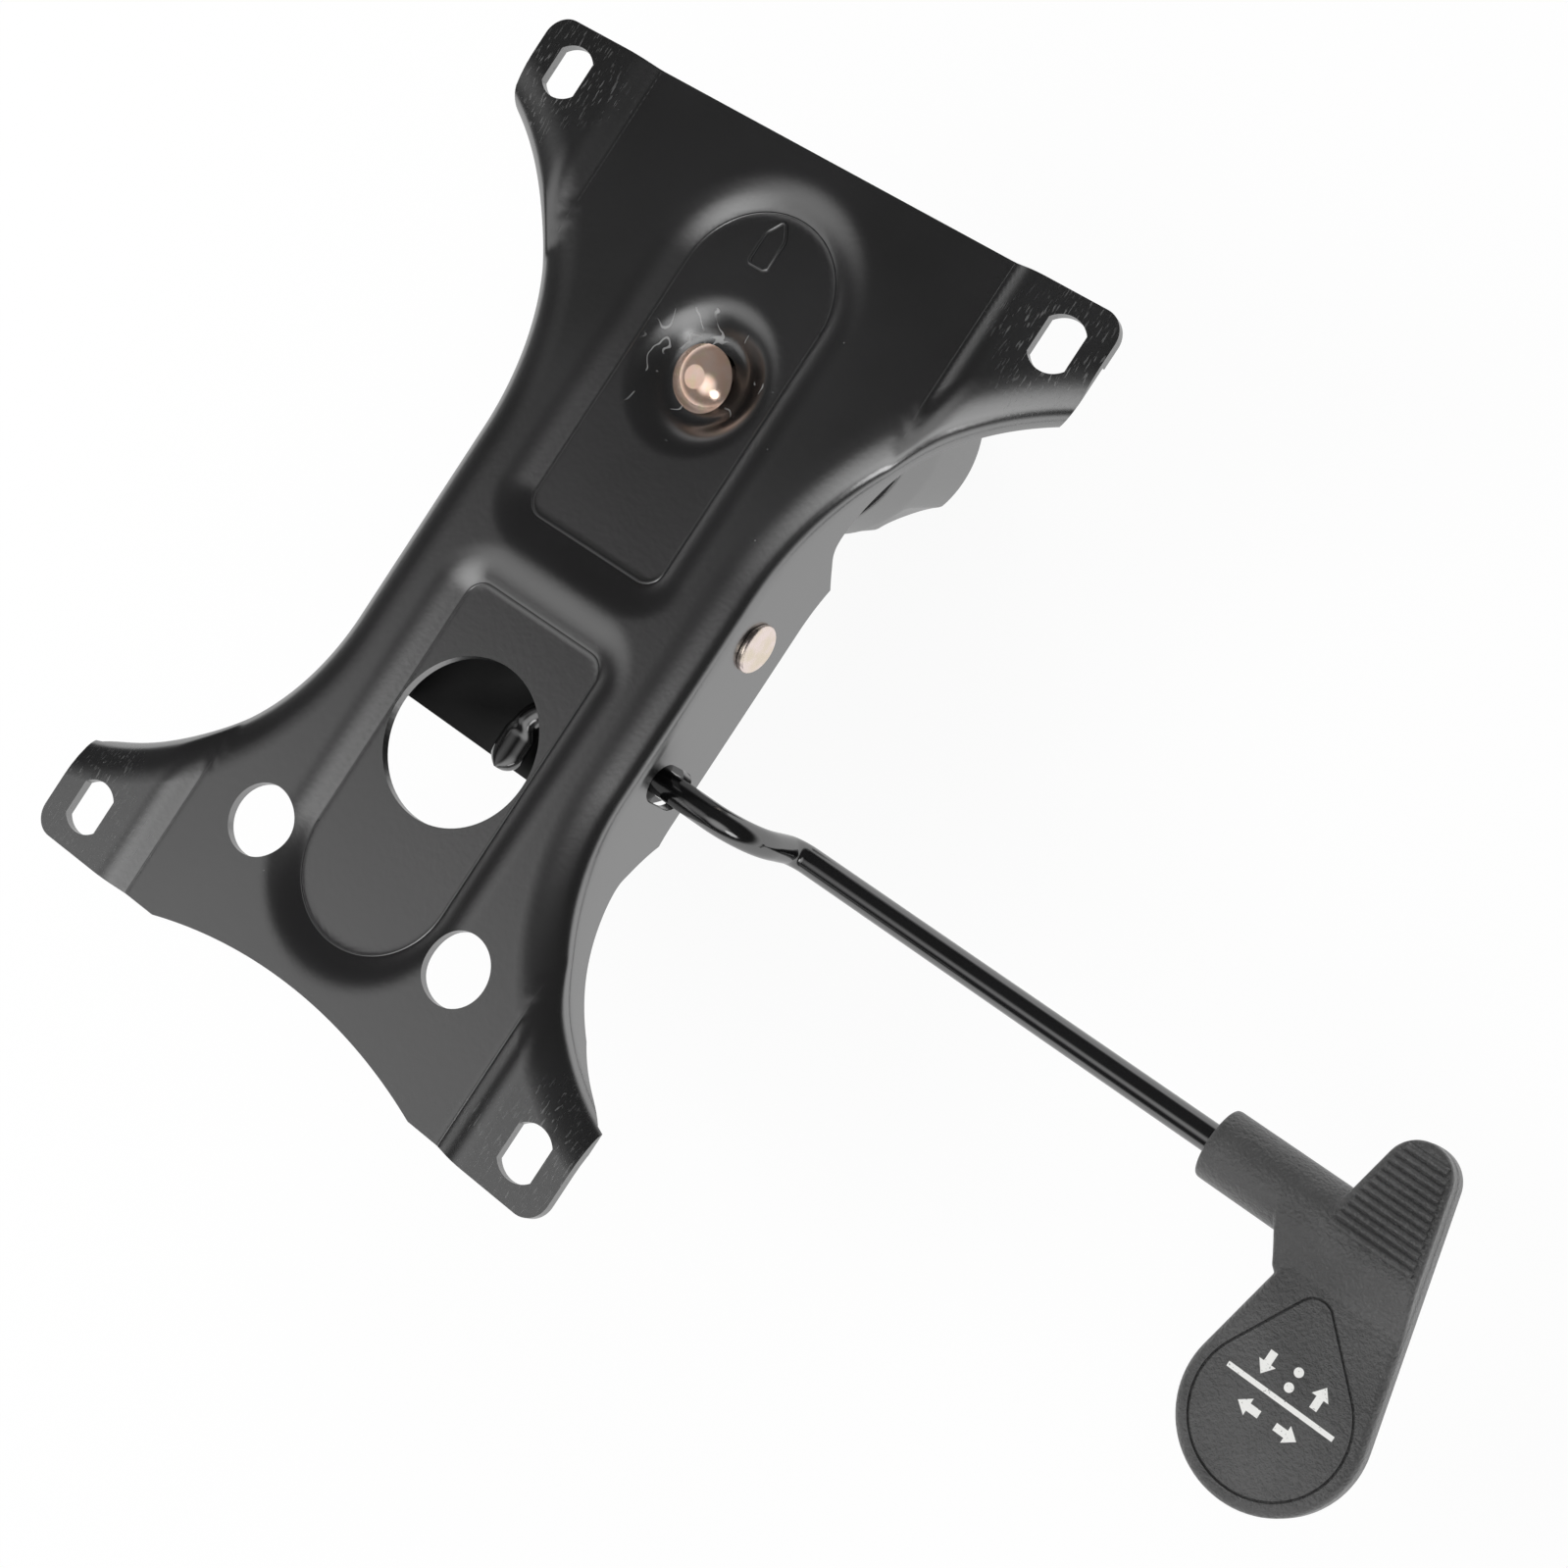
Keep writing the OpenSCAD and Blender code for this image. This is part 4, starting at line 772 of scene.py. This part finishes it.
def eased(share):
    """A share from 0 to 1 with a soft start and a soft end."""
    return share * share * (3 - 2 * share)


def lobe_radius(turn):
    """Radius of the lobed outline, with a round hollow between two lobes."""
    pitch = 2 * pi / LOBES
    beside = abs(turn % pitch - pitch / 2)
    half_chord = HOLLOW_MIDDLE * sin(beside)
    if half_chord >= HOLLOW_ROUND_R:
        return KNOB_R
    hollow = HOLLOW_MIDDLE * cos(beside) - sqrt(HOLLOW_ROUND_R ** 2 - half_chord ** 2)
    return KNOB_R - soft_corner(KNOB_R - hollow, LOBE_SOFT)


side_step = (KNOB_TOP - KNOB_BOTTOM) / SIDE_STEPS
knob_side = [(KNOB_R, KNOB_BOTTOM + side_step * i) for i in range(1, SIDE_STEPS)]
knob_corners = rounded([
    (KNOB_R, KNOB_TOP), (MOUTH_R, KNOB_TOP), (MOUTH_R, MOUTH_FLOOR), (CUP_ROOM_R, MOUTH_FLOOR),
    (CUP_ROOM_R, CUP_FLOOR), (BORE_R, CUP_FLOOR), (BORE_R, WEB_LOW), (NUT_ROOM_R, WEB_LOW),
    (NUT_ROOM_R, KNOB_BOTTOM), (BOSS_R, KNOB_BOTTOM), (BOSS_R, WEB_LOW), (SHELL_R, WEB_LOW),
    (SHELL_R, KNOB_BOTTOM), (KNOB_R, KNOB_BOTTOM),
], 0.9)
knob = turned("knob", knob_corners + knob_side, steps=192)
for vertex in knob.data.vertices:
    radius = hypot(vertex.co.x, vertex.co.y) / MM
    height = vertex.co.z / MM
    if radius > SHELL_R + 0.1 and height < LOBE_TOP:
        turn = atan2(vertex.co.y, vertex.co.x)
        share = min((LOBE_TOP - height) / (LOBE_TOP - LOBE_FULL), 1)
        drawn_in = LOBE_DEPTH * (KNOB_R - lobe_radius(turn)) * eased(share)
        drawn_in += TAPER * (SHOULDER - height) / (SHOULDER - KNOB_BOTTOM)
        scale = 1 - drawn_in * (radius - SHELL_R) / (KNOB_R - SHELL_R) / radius
        vertex.co.x *= scale
        vertex.co.y *= scale
knob.data.transform(bolt_place)
knob_plastic = plastic("knob_plastic", 0.02, 0.5 * MM, 0.01 * MM, 0.36, 3.0)
fit(knob, knob_plastic, "knob", "knob_plastic", "tension_knob")
fit(finer_copy("knob_nut", "nut", 0.3 * MM), pale_zinc, "knob", "pale_zinc", "knob_nut")

# Lever: a 7 mm round steel rod, bent cold and coated gloss black. Its inner end is turned back and
# flattened to a finger over the gas lift's button, and an S bend drops its outer run below the plate.
ROD_R, ROD_BEND_R, FINGER_X, FINGER_TIP = 3.5, 8, 1.7, -23
S_BEND_X, S_BEND_ANGLE, UPPER_BEND_R, LOWER_BEND_R = 56.5, 86, 12, 5
ROD_END_X, ROD_OUTER_Z = 224, 37
FINGER_HALF, FINGER_THIN, FLAT_AHEAD, FLAT_RUN = 4.75, 2.1, 1.5, 4
FINGER_STEPS, S_BEND_STEPS = 24, 16
rod_fall = Vector((0, -ROD_Y, ROD_OUTER_Z - ROD_Z))
fall_length = rod_fall.length
down = rod_fall.normalized()
full_turn = radians(S_BEND_ANGLE)
bends_fall = (UPPER_BEND_R + LOWER_BEND_R) * (1 - cos(full_turn))
slope_length = (fall_length - bends_fall) / sin(full_turn)

finger_step = (ROD_Y - ROD_BEND_R - FINGER_TIP) / FINGER_STEPS
rod_line = [(FINGER_X, FINGER_TIP + finger_step * i, ROD_Z) for i in range(FINGER_STEPS)]
finger_bend = arc(FINGER_X + ROD_BEND_R, ROD_Y - ROD_BEND_R, ROD_BEND_R, 180, 90, 14)
rod_line += [(x, y, ROD_Z) for x, y in finger_bend]
rod_start = Vector((S_BEND_X, ROD_Y, ROD_Z))
for i in range(S_BEND_STEPS + 1):
    turn = full_turn * i / S_BEND_STEPS
    along, fall = UPPER_BEND_R * sin(turn), UPPER_BEND_R * (1 - cos(turn))
    rod_line.append(rod_start + Vector((along, 0, 0)) + down * fall)
slope_end = rod_line[-1] + (Vector((cos(full_turn), 0, 0)) + down * sin(full_turn)) * slope_length
bend_along, bend_fall = LOWER_BEND_R * sin(full_turn), LOWER_BEND_R * (1 - cos(full_turn))
for i in range(S_BEND_STEPS, -1, -1):
    turn = full_turn * i / S_BEND_STEPS
    along, fall = LOWER_BEND_R * sin(turn), LOWER_BEND_R * (1 - cos(turn))
    rod_line.append(slope_end + Vector((bend_along - along, 0, 0)) + down * (bend_fall - fall))
rod_line.append((ROD_END_X, 0, ROD_OUTER_Z))
rod = tube("rod", rod_line, ROD_R, 8)
for vertex in rod.data.vertices:
    x, y, z = vertex.co / MM
    flat = min(max((ROD_Y - ROD_BEND_R + FLAT_AHEAD - y) / FLAT_RUN, 0), 1)
    if flat and x < FINGER_X + 6:
        flat = eased(flat)
        end = max(y - FINGER_TIP, 0)
        tip = sqrt(max(1 - max(FINGER_HALF - end, 0) ** 2 / FINGER_HALF ** 2, 0.04))
        wide = (1 + (FINGER_HALF / ROD_R - 1) * flat) * tip
        thin = 1 + (FINGER_THIN / ROD_R - 1) * flat
        vertex.co.x = (FINGER_X + (x - FINGER_X) * wide) * MM
        vertex.co.z = (ROD_Z + (z - ROD_Z) * thin) * MM

rod_coat = black_coat("rod_coat", 0.006, 0.13, 2.3, 8 * MM, 0.02 * MM)
fit(rod, rod_coat, "lever", "black_rod", "lever_rod")

# Handle: black plastic moulded over the rod's end, with a fine leather grain, a paddle that the fingers
# lift and a ribbed thumb tab. A teardrop field in a groove carries the printed signs.
HANDLE_Z, HANDLE_T, EDGE_R = 37, 9.5, 2.4
PADDLE, PADDLE_R = Vector((236.1, -41.1)), 21
TAB, TAB_R = Vector((234.4, 18.2)), 8
NECK_TOP, NECK_FLAT_Y, NECK_FOOT_Y, NECK_SINK, NECK_STEPS = 45.4, -2, -15, 0.4, 12
SOCKET_R, SOCKET_MOUTH_X, SOCKET_END_X, BORE_END_X = 8.6, 193, 230, 224.5
RIBS, RIB_PITCH, RIB_R, FIRST_RIB_Y, RIB_MARGIN, RIB_SINK = 12, 2, 0.9, 22.6, 1.6, 0.1
FIELD_MARGIN, GROOVE, FIELD_T, VOXEL = 3, 0.55, 0.8, 0.32
FIELD_TIP, FIELD_TIP_R = Vector((232.3, -19)), 4.6


def teardrop(round_end, round_r, tip, tip_r, margin=0.0):
    """Outline of two circles and their common tangents, drawn in by a margin."""
    axis = tip - round_end
    lead = degrees(atan2(axis.y, axis.x))
    spread = degrees(acos((round_r - tip_r) / axis.length))
    outer = arc(*round_end, round_r - margin, lead + spread, lead + 360 - spread, 48)
    return outer + arc(*tip, tip_r - margin, lead - spread, lead + spread, 24)


def soft_solid(piece, width):
    """Rounds the sharp edges of a piece."""
    apply(piece, "BEVEL", width=width * MM, segments=5, limit_method="ANGLE", angle_limit=radians(50))
    return piece


handle_low = HANDLE_Z - HANDLE_T / 2
face_z = HANDLE_Z + HANDLE_T / 2
handle = soft_solid(upright(teardrop(PADDLE, PADDLE_R, TAB, TAB_R), handle_low, face_z), EDGE_R)
neck = upright(teardrop(PADDLE, PADDLE_R, TAB, TAB_R, 0.2), handle_low + EDGE_R, NECK_TOP + 4)
neck_low = face_z - NECK_SINK
neck_side = [(NECK_FOOT_Y - 2, HANDLE_Z)]
for i in range(NECK_STEPS + 1):
    share = i / NECK_STEPS
    y = NECK_FOOT_Y + (NECK_FLAT_Y - NECK_FOOT_Y) * share
    neck_side.append((y, neck_low + (NECK_TOP - neck_low) * eased(share)))
neck_side += [(40, NECK_TOP), (40, HANDLE_Z)]
cut(neck, [sideways(neck_side, 200, 270)], "INTERSECT")
soft_solid(neck, 1.6)
socket_outline = [
    (0, SOCKET_END_X), (0, BORE_END_X), (ROD_R + 0.1, BORE_END_X), (ROD_R + 0.1, SOCKET_MOUTH_X),
    (SOCKET_R - 0.8, SOCKET_MOUTH_X), (SOCKET_R - 0.2, SOCKET_MOUTH_X + 0.2),
    (SOCKET_R, SOCKET_MOUTH_X + 0.8), (SOCKET_R, SOCKET_END_X),
]
socket = turned("socket", socket_outline, across(0, 0, HANDLE_Z), 64)
CORNER_FILL = [(219.6, -17), (213.6, -5.5), (213.6, -1), (230, -1), (230, -17)]
corner_fill = upright(CORNER_FILL, handle_low + 1, NECK_TOP + 4)
cut(corner_fill, [sideways(neck_side, 200, 270)], "INTERSECT")
soft_solid(corner_fill, 1.4)
ribs = []
for i in range(RIBS):
    y = FIRST_RIB_Y - i * RIB_PITCH
    back = (TAB.y - y) / (TAB.y - PADDLE.y)
    half = TAB_R + (PADDLE_R - TAB_R) * back if back > 0 else sqrt(TAB_R ** 2 - (y - TAB.y) ** 2)
    middle = TAB.x + (PADDLE.x - TAB.x) * max(back, 0)
    ends = (middle - half + RIB_MARGIN, middle + half - RIB_MARGIN)
    ribs.append(tube("rib", [(x, y, NECK_TOP - RIB_SINK) for x in ends], RIB_R))
only(handle)
for part in (neck, socket, corner_fill):
    part.select_set(True)
bpy.ops.object.join()
handle.name = "handle"
apply(handle, "REMESH", mode="VOXEL", voxel_size=VOXEL * MM)
apply(handle, "SMOOTH", factor=0.5, iterations=3)
cut(handle, ribs, "UNION")
field = teardrop(PADDLE, PADDLE_R - FIELD_MARGIN, FIELD_TIP, FIELD_TIP_R)
cut(handle, [upright(field, face_z - FIELD_T, face_z + 1.2)])
smooth(handle, 40)
handle_plastic = plastic("handle_plastic", 0.066, 1.3 * MM, 0.45 * MM, 0.36, 1.65)
fit(handle, handle_plastic, "lever", "handle_plastic", "lever_handle")
inlay_outline = teardrop(PADDLE, PADDLE_R - FIELD_MARGIN, FIELD_TIP, FIELD_TIP_R, GROOVE)
inlay = upright(inlay_outline, face_z - FIELD_T, face_z)
inlay.name = "inlay"
smooth(soft_solid(inlay, 0.15), 40)
fit(inlay, handle_plastic, "lever", "inlay_plastic", "handle_inlay")

# Printed signs: white pad printing on the field, a bar with arrows for up and down on one side
# and arrows for in and out on the other. The ink is a thin film with small gaps.
INK_T, INK_SINK, SIGN_SHIFT = 0.06, 0.02, 3.5
ink = Finish("white_ink")
ink_wear = ink.fade(ink.blotches(0.5 * MM, 3), 0.62, 0.72)
ink.surface(base_color=ink.mix(ink_wear, (0.78, 0.78, 0.76), 0.2), roughness=0.55)
ink.bump(ink.blotches(0.3 * MM), 0.01 * MM)

arrow_shape = [(-0.9, -2.6), (0.9, -2.6), (0.9, 0.2), (2.1, 0.2), (0, 2.9), (-2.1, 0.2), (-0.9, 0.2)]
bar_shape = [(-13.5, -0.6), (13.5, -0.6), (13.5, 0.6), (-13.5, 0.6)]
dot_shape = arc(0, 0, 1.1, 0, 345, 23)
signs = (
    ("sign_bar", bar_shape, 0, 0.4, 0),
    ("sign_up", arrow_shape, 6.6, 5.6, 0),
    ("sign_down", arrow_shape, -6.6, 5.6, 180),
    ("sign_dot_up", dot_shape, 0, 7.6, 0),
    ("sign_dot_down", dot_shape, 0, 3.8, 0),
    ("sign_in", arrow_shape, -4.6, -4.6, 90),
    ("sign_out", arrow_shape, 4.6, -4.6, -90),
)
for name, shape, x, y, turn in signs:
    turn_by = Matrix.Rotation(radians(turn), 2)
    spots = [turn_by @ Vector(point) for point in shape]
    middle_x, middle_y = PADDLE.x + x, PADDLE.y + SIGN_SHIFT + y
    outline = [(middle_x + s.x, middle_y + s.y, face_z - INK_SINK) for s in spots]
    fit(prism(name, outline, (0, 0, INK_T)), ink, "lever", "inlay_plastic")

# Studio: a white table, a white horizon with two soft windows that the coats mirror, three soft lamps
# and the camera of the photograph.
FLOOR_GAP, TABLE_GLOW = 0.2, 0.93
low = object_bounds()[0]
bpy.ops.object.select_all(action="DESELECT")
bpy.ops.mesh.primitive_plane_add(size=6, location=(0, 0, low.z - FLOOR_GAP * MM))
floor = bpy.context.object
floor.name = "table"
table = Nodes(bpy.data.materials.new("table"))
seen = table.add("LightPath", {}, {}, "Is Camera Ray")
for kind in ("Is Glossy Ray", "Is Transmission Ray"):
    seen = seen.math("MAXIMUM", seen, table.add("LightPath", {}, {}, kind))
diffuse = table.add("BsdfDiffuse", {}, {"Color": (0.85, 0.85, 0.85, 1)})
glow = table.add("Emission", {}, {"Color": (1, 1, 1, 1), "Strength": 1.0})
table_mix = table.add("MixShader", {}, {0: seen * TABLE_GLOW, 1: diffuse, 2: glow})
table.feed(table.tree.nodes["Material Output"].inputs["Surface"], table_mix)
floor.data.materials.append(bpy.data.materials["table"])

world = bpy.data.worlds.new("studio")
bpy.context.scene.world = world
sky = Nodes(world)
direction = sky.add("TexCoord", {}, {}, "Generated")
up = sky.add("SeparateXYZ", {}, {0: direction}, 2)
camera_ray = sky.add("LightPath", {}, {}, "Is Camera Ray")
glossy_ray = sky.add("LightPath", {}, {}, "Is Glossy Ray")
HORIZON, ROOM_DARK, ROOM_LIGHT = 0.34, 0.967, 0.7
room = 1.0 - sky.fade(up, 0.0, HORIZON) * ROOM_DARK
windows = (((0.1, -0.45, 0.88), 0.86, 1.2), ((-0.55, -0.35, 0.76), 0.91, 0.52))
for toward, edge, level in windows:
    window = Vector(toward).normalized()
    facing = sky.add("VectorMath", {"operation": "DOT_PRODUCT"}, {0: direction, 1: window}, "Value")
    room = room + sky.fade(facing, edge, 1.0) * level
plain = ROOM_LIGHT + glossy_ray * (room - ROOM_LIGHT)
strength = plain + camera_ray * (1.0 - plain)
sky.feed(sky.tree.nodes["Background"].inputs["Color"], (1, 1, 1, 1))
sky.feed(sky.tree.nodes["Background"].inputs["Strength"], strength)

target = Vector((0, 20, 80)) * MM
lamps = (
    ("lamp_rear", (-0.5, -0.4, 0.77), 1.3, 0.7, 6.0, False),
    ("lamp_front", (-0.53, 0.58, 0.59), 1.3, 0.6, 3.5, False),
    ("lamp_right", (0.55, -0.56, 0.62), 1.3, 0.5, 1.6, True),
)
for name, toward, distance, size, power, mirrored in lamps:
    bpy.ops.object.light_add(type="AREA", location=target + Vector(toward).normalized() * distance)
    lamp = bpy.context.object
    lamp.name = name
    lamp.rotation_mode = "QUATERNION"
    lamp.rotation_quaternion = Vector(toward).to_track_quat("Z", "Y")
    lamp.visible_glossy = mirrored
    lamp.data.shape = "DISK"
    lamp.data.size = size
    lamp.data.energy = power

IMAGE_SIZE, FOCAL_PIXELS = 1599, 2904.73
CAMERA_PLACE = Vector((355.59, 30.61, 649.86))
right = Vector((0.74444, 0.54933, -0.37954))
down_image = Vector((0.50416, -0.83514, -0.21989))
ahead = Vector((-0.43776, -0.02765, -0.89867))
bpy.ops.object.camera_add()
camera = bpy.context.object
camera.data.sensor_width = 36
camera.data.lens = 36 * FOCAL_PIXELS / IMAGE_SIZE
camera.data.clip_start, camera.data.clip_end = 0.01, 50
turn_matrix = Matrix((right, -down_image, -ahead)).transposed().to_4x4()
camera.matrix_world = Matrix.Translation(CAMERA_PLACE * MM) @ turn_matrix
bpy.context.scene.camera = camera
bpy.context.scene.view_settings.view_transform = "Standard"
